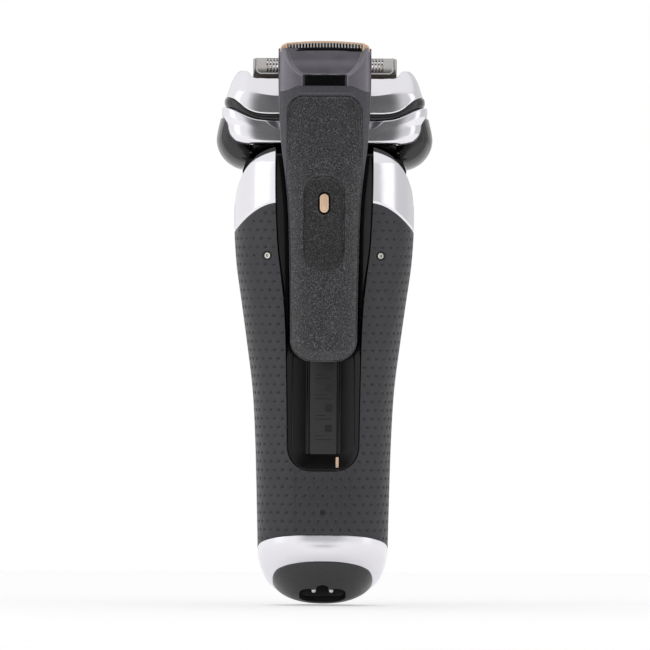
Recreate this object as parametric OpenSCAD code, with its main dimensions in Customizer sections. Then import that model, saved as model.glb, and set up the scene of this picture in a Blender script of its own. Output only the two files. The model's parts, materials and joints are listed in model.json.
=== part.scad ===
// Cordless foil shaver, standing upright on its foot.
// Z is the long axis with the cutting head at the top. The back, with the long-hair
// trimmer, faces -Y, and the front, with the power button, faces +Y.
// Drawn at rest: head in its middle position, trimmer slid up above the head.

/* [Handle] */
// Widest width of the handle
handle_w = 54.6; // [53.8:0.2:55.4]
// Depth of the skin behind the long axis at the widest place
back_d = 19.6; // [19.4:0.1:19.9]
// Depth of the skin in front of the long axis at the widest place
front_d = 18.2; // [17.6:0.1:18.8]
// Thickness of the outer skins: grip, shoulder and front cover
skin_t = 1.4; // [1.2:0.1:1.6]
// Thickness of the two inner case halves
case_t = 1.8; // [1.4:0.1:2]

/* [Foot] */
// Height of the ring's upper edge on the long axis
ring_top_z = 17.2; // [16.8:0.1:17.6]
// Height of the rim of the end cap on the long axis
rim_z = 8.3; // [8.3:0.1:8.5]
// Bulge of the end cap below its rim
dome_h = 6.3; // [6:0.1:6.3]
// Slope of the ring's upper edge, rise per unit of depth towards the back
ring_slope = 0.344; // [0.32:0.004:0.36]
// Slope of the rim of the end cap
rim_slope = 0.445; // [0.43:0.005:0.445]

/* [Trimmer] */
// Width of the trimmer across its cutting end
trimmer_w = 27.5; // [27:0.1:27.6]
// Length of the trimmer without its blades
trimmer_len = 94.4; // [94:0.1:94.6]
// Height of the trimmer's lower end when it is slid up
trimmer_foot_z = 74.2; // [74:0.1:74.6]
// How far the trimmer slides down into its channel
trimmer_travel = 32.5; // [31:0.5:33]
// Gap between the trimmer and the channel beside it
channel_gap = 0.6; // [0.5:0.05:0.7]

/* [Head] */
// Height of the axis that the head tilts about
pivot_z = 141; // [140.8:0.1:141.2]
// Distance of the tilting axis in front of the long axis
head_y = 5; // [4.9:0.1:5.1]
// Widest width of the head, across the release buttons
head_w = 65.8; // [65.4:0.1:66]
// Depth of the cassette from back to front
cassette_d = 32; // [31.6:0.1:32]
// Length of the shaving foils
foil_len = 44; // [43:0.5:44]
// Outer radius of a shaving foil
foil_r = 4.8; // [4.6:0.1:4.8]
// Distance from the middle of one foil to the middle of the other
foil_pitch = 13.5; // [13.4:0.1:13.6]

/* [Drive] */
// Distance that the drive moves to each side of its middle
stroke = 1.2; // [0.8:0.1:1.2]
// Radius of the two pins that the head tilts on
pivot_r = 1.5; // [1.3:0.1:1.5]

/* [Hidden] */
$fn = 48;

// Small gap between parts of the case that meet
fit_gap = 0.1;
// Sides of a full turn of the skins
skin_steps = 48;
// Exponent of the handle's rounded cross-section
handle_n = 2.6;
// Exponents of the squarer cross-sections of the head's base and of the cassette
head_base_n = 3.4;
cassette_n = 6;

// Handle outline: height, then half width, back depth and front depth as shares
// of handle_w / 2, back_d and front_d
HANDLE = [
  [18, 0.725, 0.79, 0.75],
  [26, 0.733, 0.84, 0.77],
  [36, 0.742, 0.89, 0.79],
  [50, 0.758, 0.925, 0.825],
  [68, 0.8, 0.955, 0.875],
  [86, 0.885, 0.975, 0.935],
  [100, 0.96, 0.99, 0.98],
  [114, 1, 1, 1],
  [124, 1, 0.985, 0.985],
  [134, 0.985, 0.93, 0.935],
  [140, 0.96, 0.82, 0.87]
];

// Foot ring: height on the long axis, half width, back depth, front depth, slope
RING = [
  [rim_z, 15.5, 13.2, 12.2, rim_slope],
  [9.4, 17, 14.2, 13.2, rim_slope - 0.01],
  [11.2, 18.5, 15, 13.6, rim_slope - 0.03],
  [13.8, 19.4, 15.3, 13.6, rim_slope - 0.06],
  [ring_top_z, 19.75, 15.4, 13.6, ring_slope]
];

// Half width of the trimmer at heights above its lower end, as shares of trimmer_w / 2
TRIMMER_SIDE = [
  [0, 0.74],
  [8, 0.745],
  [30, 0.775],
  [43, 0.797],
  [49, 0.822],
  [55, 0.865],
  [60, 0.9],
  [66, 0.965],
  [75, 1],
  [120, 1]
];
foot_corner_r = 6.5;
trimmer_back_y = -15.5;
trimmer_skin_y = -19;
trimmer_face_y = -21;
nose_z = 156.8;
trimmer_end_z = trimmer_foot_z + trimmer_len;
channel_floor_y = -15.1;
channel_wall = 0.8;

// Station contacts and vent on the back of the handle
contact_x = 17.3;
contact_z = 106.3;
vent_z = 28.3;
// Power button and head lock on the front
power_z = 76;
lock_z = 118;

// Guide grooves in the floor of the trimmer channel
groove_x = 5.4;
groove_z = 79;

// Charging socket in the end cap
socket_y = -1.2;
socket_z = 2.7;
socket_tilt = 25;
socket_w = 14.2;
socket_d = 10;
socket_depth = 10;
charge_pin_x = 2.65;
charge_pin_y = -3.2;
charge_pin_r = 0.75;
charge_pin_root_r = 1.1;

rear_foil_y = head_y - foil_pitch / 2;
front_foil_y = head_y + foil_pitch / 2;
foil_axis_z = 161.7;
foil_t = 0.3;

// ---------- helpers ----------

function power(v, n) = sign(v) * pow(abs(v), 2 / n);

function mix(a, b, t) = a + (b - a) * t;

// Point of a rounded cross-section at angle a, measured from +X towards the front
function oval(a, w, back, front, n) =
  [w * power(cos(a), n), (sin(a) < 0 ? back : front) * power(sin(a), n)];

function column(table, k) = [for (row = table) [row[0], row[k]]];

function handle_half(z) = handle_w / 2 * lookup(z, column(HANDLE, 1));
function handle_back(z) = back_d * lookup(z, column(HANDLE, 2));
function handle_front(z) = front_d * lookup(z, column(HANDLE, 3));

function handle_point(a, z, inset) =
  let (p = oval(a, handle_half(z) - inset, handle_back(z) - inset, handle_front(z) - inset, handle_n))
  [p.x, p.y, z];

function angles(from, to, steps) = [for (i = [0 : steps]) from + (to - from) * i / steps];

// Each four-sided face as two triangles
function halves(faces) = [for (f = faces) each [[f[0], f[1], f[2]], [f[0], f[2], f[3]]]];

// Closed solid between an outer and an inner grid of points. Rows go up and columns
// go round; a closed grid joins its last column to its first.
module grid_solid(outer, inner, closed = false) {
  rows = len(outer);
  cols = len(outer[0]);
  n = rows * cols;
  last = closed ? cols - 1 : cols - 2;
  function at(r, c) = r * cols + c % cols;
  skin = [for (r = [0 : rows - 2], c = [0 : last])
    [at(r, c), at(r + 1, c), at(r + 1, c + 1), at(r, c + 1)]];
  lining = [for (f = skin) [f[0] + n, f[3] + n, f[2] + n, f[1] + n]];
  foot = [for (c = [0 : last]) [at(0, c), at(0, c + 1), at(0, c + 1) + n, at(0, c) + n]];
  top = [for (c = [0 : last]) let (r = rows - 1)
    [at(r, c), at(r, c) + n, at(r, c + 1) + n, at(r, c + 1)]];
  first_side = [for (r = [0 : rows - 2]) [at(r, 0), at(r, 0) + n, at(r + 1, 0) + n, at(r + 1, 0)]];
  last_side = [for (r = [0 : rows - 2]) let (c = cols - 1)
    [at(r, c), at(r + 1, c), at(r + 1, c) + n, at(r, c) + n]];
  sides = closed ? [] : concat(first_side, last_side);
  polyhedron([for (r = concat(outer, inner)) each r], halves(concat(skin, lining, foot, top, sides)));
}

// Solid through a stack of closed rings of points
module ring_solid(rings) {
  rows = len(rings);
  cols = len(rings[0]);
  function at(r, c) = r * cols + c % cols;
  skin = [for (r = [0 : rows - 2], c = [0 : cols - 1])
    [at(r, c), at(r + 1, c), at(r + 1, c + 1), at(r, c + 1)]];
  foot = [for (c = [0 : cols - 1]) c];
  top = [for (c = [cols - 1 : -1 : 0]) at(rows - 1, c)];
  polyhedron([for (r = rings) each r], concat(halves(skin), [foot, top]));
}

function full_turn(steps = skin_steps) = [for (i = [0 : steps - 1]) 360 * i / steps];

// Whole handle as one solid, with its skin inset, between two heights
module handle_solid(inset, from_z, to_z, steps = 9) {
  ring_solid([for (i = [0 : steps]) let (z = mix(from_z, to_z, i / steps))
    [for (a = full_turn()) handle_point(a, z, inset)]]);
}

// Outline with rounded corners, centred on the origin
function rounded_rectangle(w, h, r, steps = 8) =
  [for (corner = [0 : 3], i = [0 : steps])
    let (a = 90 * corner + 90 * i / steps,
         sx = (corner == 0 || corner == 3) ? 1 : -1,
         sy = corner < 2 ? 1 : -1)
    [sx * (w / 2 - r) + r * cos(a), sy * (h / 2 - r) + r * sin(a)]];

// Plate whose outline lies in the XZ plane, between two depths
module plate_xz(y_from, y_to) {
  translate([0, y_to, 0])
    rotate([90, 0, 0])
      linear_extrude(y_to - y_from) children();
}

module rounded_plate(w, h, r, y_from, y_to, z, x = 0) {
  plate_xz(y_from, y_to) translate([x, z]) polygon(rounded_rectangle(w, h, r));
}

// Rod along Y or along X
module rod_y(r, y_from, y_to, x = 0, z = 0) {
  translate([x, y_to, z]) rotate([90, 0, 0]) cylinder(r = r, h = y_to - y_from);
}

module rod_x(r, x_from, x_to, y, z) {
  translate([x_from, y, z]) rotate([0, 90, 0]) cylinder(r = r, h = x_to - x_from);
}

module box(x, y, z) {
  translate([x[0], y[0], z[0]]) cube([x[1] - x[0], y[1] - y[0], z[1] - z[0]]);
}

// ---------- handle skins ----------

// Height of the ring's sloped upper edge under a place of the skin
function foot_edge(a) =
  let (p = oval(a, RING[4][1], RING[4][2], RING[4][3], handle_n))
  ring_top_z - ring_slope * p.y;

// Upper edge of the rubber grip: high beside the channel, lower at the sides
function grip_edge(a) = 122.2 - 9.4 * pow(max(0, abs(oval(a, 1, 1, 1, handle_n).x) - 0.5) * 2, 1.3);

// Arched upper edge of the shoulders over the width of the handle
function arch(x, foot, height) = foot + height * sqrt(max(0, 1 - pow(min(1, abs(x) / 27.1), 4.5)));

function shoulder_edge(a) = arch(handle_point(a, 124, 0).x, 122, 17.4);
function front_edge(a) = arch(handle_point(a, 124, 0).x, 121, 9.6);

// Patch of the handle's skin between two edges, which are lists of heights
module handle_patch(list, low, high, rows, outer_inset, inner_inset) {
  function heights(r) = [for (i = [0 : len(list) - 1]) mix(low[i], high[i], r / rows)];
  function face(inset) = [for (r = [0 : rows]) let (z = heights(r))
    [for (i = [0 : len(list) - 1]) handle_point(list[i], z[i], inset)]];
  grid_solid(face(outer_inset), face(inner_inset));
}

BACK = angles(171, 369, 30);
FRONT = angles(9.6, 170.4, 22);

// Room that the trimmer channel takes out of the handle's back
module channel_room(extra) {
  trimmer_slab(channel_gap + extra, -30, -10, -trimmer_travel, 20);
}

module rear_grip() {
  color([0.28, 0.27, 0.29]) difference() {
    handle_patch(BACK, [for (a = BACK) foot_edge(a) + fit_gap], [for (a = BACK) grip_edge(a)],
      13, 0, skin_t);
    channel_room(channel_wall + 0.05);
    for (side = [-1, 1]) rod_y(1.45, -25, -10, side * contact_x, contact_z);
    rod_y(0.85, -25, -10, 0, vent_z);
  }
}

module shoulder_cover() {
  color([0.85, 0.84, 0.86]) difference() {
    handle_patch(BACK, [for (a = BACK) grip_edge(a) + fit_gap], [for (a = BACK) shoulder_edge(a)],
      6, 0, skin_t);
    channel_room(channel_wall + 0.05);
  }
}

module front_cover() {
  color([0.2, 0.2, 0.21]) difference() {
    handle_patch(FRONT, [for (a = FRONT) foot_edge(a) + fit_gap], [for (a = FRONT) front_edge(a)],
      13, 0, skin_t);
    rod_y(8.7, 5, 30, 0, power_z);
    rounded_plate(14, 24, 3, 5, 30, 46);
    rounded_plate(3.8, 8, 1.8, 5, 30, lock_z);
  }
}

// One half of the inner case, which carries the skins
module case_half(from, to) {
  list = angles(from, to, 20);
  handle_patch(list, [for (a = list) foot_edge(a) + 2], [for (a = list) 124], 10,
    skin_t + 0.2, skin_t + 0.2 + case_t);
}

SCREWS = [[-12, 34], [12, 34], [-18.6, 112], [18.6, 112]];
screw_r = 1;

module rear_shell() {
  color([0.15, 0.15, 0.16]) difference() {
    union() {
      case_half(180.3, 359.7);
      intersection() {
        for (s = SCREWS) rod_y(2.6, -30, 0, s[0], s[1]);
        handle_solid(skin_t + 0.5, 26, 124, 7);
      }
    }
    channel_room(channel_wall + 0.05);
    for (side = [-1, 1]) rod_y(1.45, -25, -10, side * contact_x, contact_z);
    for (s = SCREWS) rod_y(screw_r + 0.15, -30, 1, s[0], s[1]);
    for (s = SCREWS) rod_y(2.1, -30, -6, s[0], s[1]);
  }
}

module front_shell() {
  color([0.15, 0.15, 0.16]) difference() {
    union() {
      case_half(0.3, 179.7);
      intersection() {
        for (s = SCREWS) rod_y(2.6, 0.2, 30, s[0], s[1]);
        handle_solid(skin_t + 0.5, 26, 124, 7);
      }
    }
    rod_y(8.7, 5, 30, 0, power_z);
    rounded_plate(14, 24, 3, 9, 30, 46);
    rounded_plate(5, 10, 2, 5, 30, lock_z);
    for (s = SCREWS) rod_y(screw_r, -1, 9, s[0], s[1]);
  }
}

module case_screws() {
  color("silver") for (s = SCREWS) {
    rod_y(screw_r, -6, 8, s[0], s[1]);
    difference() {
      rod_y(1.9, -7.6, -6, s[0], s[1]);
      rod_y(0.7, -7.7, -6.8, s[0], s[1]);
    }
  }
}

module vent_plug() {
  color([0.1, 0.1, 0.1]) difference() {
    rod_y(0.8, -16.8, -15.3, 0, vent_z);
    rod_y(0.3, -17, -16.2, 0, vent_z);
  }
}

module contact_bushes() {
  color([0.06, 0.06, 0.06]) for (side = [-1, 1]) difference() {
    rod_y(1.4, -16.9, -12, side * contact_x, contact_z);
    rod_y(1.14, -20, -10, side * contact_x, contact_z);
  }
}

module contact_pins() {
  color("silver") for (side = [-1, 1]) difference() {
    rod_y(1.1, -16.9, -9, side * contact_x, contact_z);
    rod_y(0.45, -17.5, -15.9, side * contact_x, contact_z);
  }
}

// ---------- foot ----------

// Ring of points in a sloped plane; a level one has its inset points as high as its outer ones
function ring_loop(row, inset, level = false) = [for (a = full_turn())
  let (p = oval(a, row[1] - inset, row[2] - inset, row[3] - inset, handle_n),
       edge = oval(a, row[1], row[2], row[3], handle_n))
  [p.x, p.y, row[0] - row[4] * (level ? edge : p).y]];

module base_ring() {
  color([0.78, 0.77, 0.79]) grid_solid(
    [for (row = RING) ring_loop(row, 0)],
    [for (row = RING) ring_loop(row, 1.6, row[0] == ring_top_z)],
    closed = true
  );
}

// Domed end of the foot, lying in the rim's sloped plane
module dome(inset) {
  rim = [rim_z, 15.4 - inset, 13.1 - inset, 12.1 - inset, rim_slope];
  low_angle = 86;
  rings = 7;
  ring_solid([for (i = [0 : rings]) let (lift = low_angle * (1 - i / rings))
    [for (a = full_turn()) let (p = oval(a, rim[1], rim[2], rim[3], handle_n) * cos(lift))
      [p.x, p.y, rim[0] - rim[4] * p.y - (dome_h - inset) * sin(lift)]]]);
}

// Places its children in the socket's own frame, whose mouth faces down and back
module socket_frame() {
  translate([0, socket_y, socket_z]) rotate([-socket_tilt, 0, 0]) children();
}

key_r = 1.9;
key_reach = 5.4;

// Shape of the socket: a rounded rectangle with a round slot for the plug's key
module socket_prism(grow, from, to) {
  socket_frame() translate([0, 0, from]) linear_extrude(to - from)
    union() {
      polygon(rounded_rectangle(socket_w + 2 * grow, socket_d + 2 * grow, 3.4 + grow));
      translate([-key_r - grow, -key_reach]) square([2 * (key_r + grow), 4]);
      translate([0, -key_reach]) circle(key_r + grow);
    }
}

module end_cap() {
  color([0.26, 0.26, 0.26]) difference() {
    union() {
      difference() {
        dome(0);
        translate([0, 0, 0.01]) dome(1.8);
      }
      intersection() {
        dome(0);
        socket_prism(1.6, -4, 2.2);
      }
    }
    socket_prism(0, -6, 12);
    socket_prism(1.2, 2.25, 12);
  }
}

module base_seal() {
  seal = [[rim_z + 0.6, 13.6, 11.3, 10.3, rim_slope], [rim_z + 2, 13.6, 11.3, 10.3, rim_slope]];
  color([0.08, 0.08, 0.08]) grid_solid(
    [for (row = seal) ring_loop(row, 0)],
    [for (row = seal) ring_loop(row, 1.2)],
    closed = true
  );
}

module socket_housing() {
  color([0.04, 0.04, 0.04]) difference() {
    socket_prism(1.1, 2.3, socket_depth + 1.4);
    socket_prism(0, 1, socket_depth);
    charge_pins(charge_pin_root_r + 0.02, 8, 20);
  }
}

module charge_pins(r, from, to) {
  for (side = [-1, 1]) socket_frame()
    translate([side * charge_pin_x, charge_pin_y, from]) cylinder(r = r, h = to - from);
}

module socket_pins() {
  tip = -0.2;
  color("silver") {
    charge_pins(charge_pin_r, tip, socket_depth);
    charge_pins(charge_pin_root_r, socket_depth, socket_depth + 3.5);
    for (side = [-1, 1]) socket_frame()
      translate([side * charge_pin_x, charge_pin_y, tip]) sphere(r = charge_pin_r);
  }
}

// ---------- trimmer outline ----------

function trimmer_half(h) = trimmer_w / 2 * lookup(h, TRIMMER_SIDE);

// Outline of the trimmer grown by a gap, from its round lower end up to a height
function trimmer_outline(grow, top) =
  let (r = foot_corner_r + grow,
       inner = trimmer_half(0) - foot_corner_r,
       corner = [for (i = [0 : 8]) let (a = -90 + 90 * i / 8)
         [inner + r * cos(a), foot_corner_r + r * sin(a)]],
       side = [for (row = TRIMMER_SIDE) if (row[0] > foot_corner_r && row[0] < top)
         [trimmer_half(row[0]) + grow, row[0]]],
       right = concat(corner, side, [[trimmer_half(top) + grow, top]]))
  concat(right, [for (i = [len(right) - 1 : -1 : 0]) [-right[i].x, right[i].y]]);

module trimmer_slab(grow, y_from, y_to, shift = 0, extra_top = 0) {
  translate([0, 0, trimmer_foot_z + shift])
    plate_xz(y_from, y_to) polygon(trimmer_outline(grow, trimmer_len + extra_top));
}

// ---------- channel ----------

module trimmer_channel() {
  color([0.05, 0.05, 0.05]) difference() {
    intersection() {
      trimmer_slab(channel_gap + channel_wall, -22, channel_floor_y + 1.4, -trimmer_travel, 20);
      handle_solid(0.15, 34, 138.4, 12);
    }
    trimmer_slab(channel_gap, -30, channel_floor_y, -trimmer_travel, 20);
    for (side = [-1, 1])
      rounded_plate(1.3, 70, 0.64, channel_floor_y - 1, channel_floor_y + 0.9, groove_z, side * groove_x);
    rounded_plate(8.4, 66, 0.6, channel_floor_y - 1, channel_floor_y + 0.35, groove_z);
  }
}

module label_plate() {
  color([0.16, 0.16, 0.17])
    rounded_plate(8.2, 65.8, 0.5, channel_floor_y + 0.05, channel_floor_y + 0.35, groove_z);
}

// ---------- inside the handle ----------

module inner_frame() {
  frame_y = 4;
  color([0.75, 0.75, 0.72]) difference() {
    union() {
      box([-14.5, 14.5], [frame_y, frame_y + 1.6], [24, 88]);
      for (side = [-1, 1]) translate([side * 13.7 - 0.8, -6, 24]) cube([1.6, 10.2, 62]);
    }
    for (side = [-1, 1]) rod_y(2.9, -20, 20, side * 12, 34);
    for (z = [44, 66]) rounded_plate(10, 14, 2, 0, 10, z);
  }
}

module battery_cell() {
  color([0.2, 0.45, 0.55]) {
    translate([0, -4.2, 26]) cylinder(r = 7.2, h = 50);
    translate([0, -4.2, 76]) cylinder(r = 3, h = 1.2);
  }
}

module circuit_board() {
  board_y = 7.4;
  color([0.1, 0.35, 0.2]) difference() {
    union() {
      box([-12.5, 12.5], [board_y, board_y + 1.2], [38, 88]);
      box([-3, 3], [board_y + 1.1, board_y + 2.6], [power_z - 3, power_z + 3]);
      box([-5, 5], [board_y + 1.1, board_y + 2.2], [42, 50]);
      box([-4, 4], [board_y + 1.1, board_y + 2.2], [56, 64]);
      for (side = [-1, 1]) rod_y(1.5, 5.65, board_y + 0.1, side * 10, 82);
    }
    for (side = [-1, 1]) rod_y(0.6, 5, 10, side * 10, 82);
  }
}

module display_window() {
  color([0.03, 0.03, 0.03]) intersection() {
    handle_patch(angles(60, 120, 8), [for (i = [0 : 8]) 33], [for (i = [0 : 8]) 59], 3, 0.15, skin_t);
    rounded_plate(13.8, 23.8, 2.9, 5, 30, 46);
  }
}

module button_bezel() {
  color("silver") difference() {
    rod_y(8.6, 12.8, 17.2, 0, power_z);
    rod_y(7.2, 13.8, 20, 0, power_z);
    rod_y(1.7, 10, 20, 0, power_z);
  }
}

module power_button() {
  color([0.62, 0.62, 0.64]) difference() {
    union() {
      rod_y(7, 15.1, 16.9, 0, power_z);
      rod_y(1.5, 11, 15.2, 0, power_z);
    }
    translate([0, 44.6, power_z]) sphere(r = 28, $fn = 96);
  }
}

module lock_switch() {
  color([0.3, 0.3, 0.31]) {
    rounded_plate(10, 5, 1.6, front_d + 0.15, front_d + 1.4, lock_z + 1.3);
    rounded_plate(3, 3, 1, 13.5, front_d + 0.2, lock_z + 1.3);
  }
}

motor_y = 3;
drive_pin_r = 1.2;

module motor_stator() {
  color([0.45, 0.3, 0.2]) difference() {
    box([-13, 13], [motor_y - 8, motor_y + 8], [92, 110]);
    box([-4, 4], [motor_y - 9, motor_y + 9], [97, 104]);
    box([-9, 9], [motor_y - 5, motor_y + 5], [107, 112]);
  }
}

module motor_bracket() {
  color([0.7, 0.7, 0.7]) {
    box([-15, 15], [motor_y - 6, motor_y + 6], [90.4, 91.9]);
    for (side = [-1, 1])
      translate([side * 14.1 - 0.8, motor_y - 6, 90.4]) cube([1.6, 12, 34]);
  }
}

// Magnet carrier of the linear drive
module drive_armature() {
  color([0.35, 0.35, 0.38]) {
    box([-6.5, 6.5], [motor_y - 4, motor_y + 4], [107.6, 112]);
    box([-9, 9], [motor_y - 5.5, motor_y + 6], [111.9, 116]);
  }
}

// Pin that brings the motion up to the tilting axis
module drive_pin() {
  color("silver") translate([0, head_y, 0]) {
    translate([0, 0, 116]) cylinder(r = drive_pin_r, h = pivot_z - 116);
    translate([0, 0, pivot_z]) sphere(r = 1.7);
  }
}

// ---------- neck ----------

module neck_plate() {
  color([0.07, 0.07, 0.07]) difference() {
    ring_solid([for (z = [124.6, 127.6]) [for (a = full_turn())
      let (p = handle_point(a, 128, skin_t + 0.25)) [p.x, p.y, z]]]);
    channel_room(channel_wall + 0.05);
    translate([0, head_y, 120]) cylinder(r = 4, h = 10);
  }
}

yoke_x = [6.5, 18.6];

// Black saddle that carries the pivot pins on its two arms
module head_yoke() {
  color([0.07, 0.07, 0.07]) difference() {
    union() {
      box([-22.4, 22.4], [head_y - 4.6, head_y + 4.6], [127.65, 136.9]);
      for (side = [-1, 1]) {
        x = side > 0 ? yoke_x : [-yoke_x[1], -yoke_x[0]];
        box(x, [head_y - 3.6, head_y + 3.6], [136, pivot_z]);
        rod_x(3.6, x[0], x[1], head_y, pivot_z);
      }
    }
    translate([0, head_y, 120]) cylinder(r = 4, h = 20);
    rod_x(pivot_r, 12, 30, head_y, pivot_z);
    rod_x(pivot_r, -30, -12, head_y, pivot_z);
  }
}

module pivot_pins() {
  color("silver") for (side = [-1, 1])
    rod_x(pivot_r, side > 0 ? 12 : -22.8, side > 0 ? 22.8 : -12, head_y, pivot_z);
}

module drive_boot() {
  bore = drive_pin_r + stroke + 0.2;
  fold = [[0.6, 130], [0.2, 131.4], [0.6, 132.8], [0, 134.6]];
  outside = [for (p = fold) [bore + p[0] + 0.7, p[1]]];
  inside = [for (i = [len(fold) - 1 : -1 : 0]) [bore + fold[i][0], fold[i][1]]];
  color([0.12, 0.12, 0.12]) translate([0, head_y, 0]) rotate_extrude()
    polygon(concat([[bore + 0.3, 124.8], [bore + 1.3, 124.8]], outside, inside));
}

// ---------- head ----------

// Parting surfaces of the head, low in the middle and rising towards its ends
function base_top(x) = 147.4 + 4 * pow(min(1.05, abs(x) / 30.6), 5);
function cassette_foot(x) = 149.4 + 5 * pow(min(1.05, abs(x) / 29.4), 5);

function head_loop(w, d, n) = [for (a = full_turn())
  let (p = oval(a, w, d, d, n)) [p.x, head_y + p.y]];

// Ring of points from a plan outline and a rule for the height over x
function raised(loop, height) = [for (p = loop) [p.x, p.y, height(p.x)]];

// Half depth of the side pockets that the release buttons sit in
pocket_half_d = 10.2;

module head_base() {
  foot = pivot_z - 1;
  section = [
    [0, 23.6, 11.6],
    [0.1, 26.6, 13.8],
    [0.35, 28.6, 15.2],
    [0.7, 29.6, 15.8],
    [1, 30.4, 16]
  ];
  function loops(inset) = [for (s = section)
    raised(head_loop(s[1] - inset, s[2] - inset, head_base_n), function(x) mix(foot, base_top(x), s[0]))];
  color([0.82, 0.81, 0.84]) {
    difference() {
      grid_solid(loops(0), loops(1.4), closed = true);
      for (side = [-1, 1])
        translate([side * 33.9 - 15, head_y - pocket_half_d, foot - 5]) cube([30, 2 * pocket_half_d, 30]);
    }
    for (side = [-1, 1]) difference() {
      translate([side * 24.8 - 0.6, head_y - 12.2, 142.2]) cube([1.2, 24.4, 3.2]);
      spring_bores(-30, 30);
    }
  }
}

// Black frame in the base, with the bosses that turn on the pivot pins
module head_frame() {
  boss_x = 21.45;
  boss_w = 2.9;
  color([0.1, 0.1, 0.1]) difference() {
    union() {
      translate([0, 0, 145.6]) linear_extrude(1.4) polygon(head_loop(25.3, 13.2, head_base_n));
      for (side = [-1, 1]) {
        translate([side * 23.5 - 0.6, head_y - 10, 140.6]) cube([1.2, 20, 5.1]);
        translate([side * boss_x - boss_w / 2, head_y - 3.4, pivot_z]) cube([boss_w, 6.8, 5]);
        rod_x(3.4, side * boss_x - boss_w / 2, side * boss_x + boss_w / 2, head_y, pivot_z);
      }
    }
    box([-13, 13], [head_y - 10, head_y + 10], [140, 150]);
    rod_x(pivot_r + 0.05, -30, 30, head_y, pivot_z);
  }
}

module gap_band() {
  function loops(inset) = [for (t = [0, 1])
    raised(head_loop(29.8 - inset, 15.2 - inset, cassette_n), function(x)
      mix(base_top(x) + fit_gap, cassette_foot(x) - 0.2, t))];
  color([0.3, 0.3, 0.3]) grid_solid(loops(0), loops(0.9), closed = true);
}

// Side outline of a release button: height and half width as a share of head_w / 2
BUTTON_SIDE = [
  [132.6, 0.793],
  [134.2, 0.881],
  [136, 0.939],
  [138, 0.976],
  [141.3, 1],
  [145, 0.985],
  [148.4, 0.96],
  [150.1, 0.945]
];
button_half_d = 10;
// Inner side of a release button: height and distance from the long axis
INNER_SIDE = [[132.6, 23.8], [138, 24.2], [139.4, 25.2], [141.6, 26.8], [148, 27.8], [150.1, 28.4]];
pocket_end = 28.6;

module release_button(side) {
  spread = angles(-button_half_d, button_half_d, 8);
  heights = [for (row = BUTTON_SIDE) row[0]];
  top_z = heights[len(heights) - 1];
  function outer_x(z, y) = head_w / 2 * lookup(z, BUTTON_SIDE) - 2 * pow(abs(y) / button_half_d, 3);
  function inner_x(z) = lookup(z, INNER_SIDE);
  function foot_lift(z, y) = (top_z - z) / (top_z - heights[0]) * 2.4 * pow(y / button_half_d, 2);
  outer = [for (z = heights) [for (y = spread) [outer_x(z, y), head_y + y, z + foot_lift(z, y)]]];
  inner = [for (z = heights) [for (y = spread) [inner_x(z), head_y + y, z + foot_lift(z, y)]]];
  color([0.27, 0.27, 0.27]) rotate([0, 0, side > 0 ? 0 : 180]) translate([0, side > 0 ? 0 : -2 * head_y, 0])
    difference() {
      grid_solid(outer, inner);
      spring_bores(20, pocket_end);
    }
}

module release_button_left() release_button(-1);
module release_button_right() release_button(1);

// Coil spring along +X: small wire, few turns
module coil(r, wire, length, turns) {
  per_turn = 10;
  sides = 5;
  steps = turns * per_turn;
  ring_solid([for (i = [0 : steps]) let (a = 360 * i / per_turn, x = length * i / steps)
    [for (k = [0 : sides - 1]) let (b = -360 * k / sides, q = r + wire * cos(b))
      [x + wire * sin(b), q * cos(a), q * sin(a)]]]);
}

spring_x = [24.3, 27.3];
spring_z = 143.4;
SPRING_Y = [-7, 7];

// Bores that the release springs sit in
module spring_bores(from, to) {
  for (y = SPRING_Y) rod_x(1.25, from, to, head_y + y, spring_z);
}

module release_spring(side) {
  color("silver") for (y = SPRING_Y)
    translate([side > 0 ? spring_x[0] : -spring_x[1], head_y + y, spring_z])
      coil(0.9, 0.16, spring_x[1] - spring_x[0], 3);
}

module release_spring_left() release_spring(-1);
module release_spring_right() release_spring(1);

// Bridge in the head: its fork takes the ball of the drive pin, its posts the cutters
module drive_bridge() {
  color([0.85, 0.85, 0.8]) {
    for (side = [-1, 1])
      translate([side * 2.55 - 0.8, head_y - 3, 139]) cube([1.6, 6, 4.6]);
    box([-5, 5], [rear_foil_y - 1.6, front_foil_y + 1.6], [143.5, 145.6]);
    for (y = [rear_foil_y, front_foil_y])
      translate([0, y, 145.5]) cylinder(r = 0.9, h = 11.3);
  }
}

// ---------- cassette ----------

ear_rise = 2.2;
// Opening in the top of the cassette that the foil carriers float in
mouth_w = foil_len + 0.5;
mouth_d = foil_pitch + 2 * foil_r + 0.5;

function cassette_top(x) = 160.3 + ear_rise * max(0, min(1, (abs(x) - 20.5) / 3));

module cassette_frame() {
  half_d = cassette_d / 2;
  section = [
    [0, 29.9, half_d],
    [0.5, 29.9, half_d],
    [0.9, 29.5, half_d],
    [1, 29.3, half_d - 0.3]
  ];
  edge_z = 156;
  function lower(inset) = [for (s = section)
    raised(head_loop(s[1] - inset, s[2] - inset, cassette_n), function(x) mix(cassette_foot(x), edge_z, s[0]))];
  function upper(w, d, drop) =
    raised(head_loop(w, d, cassette_n), function(x) cassette_top(x) - drop);
  outer = concat(lower(0), [upper(27.6, half_d - 3.8, 0.9), upper(26.7, half_d - 4, 0)]);
  inner = concat(lower(1.2), [upper(23.6, half_d - 5.2, 1.3), upper(22.4, half_d - 4.6, 0)]);
  color([0.86, 0.85, 0.87]) difference() {
    grid_solid(outer, inner, closed = true);
    box([-mouth_w / 2, mouth_w / 2], [head_y - mouth_d / 2, head_y + mouth_d / 2], [edge_z, 170]);
  }
}

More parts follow.
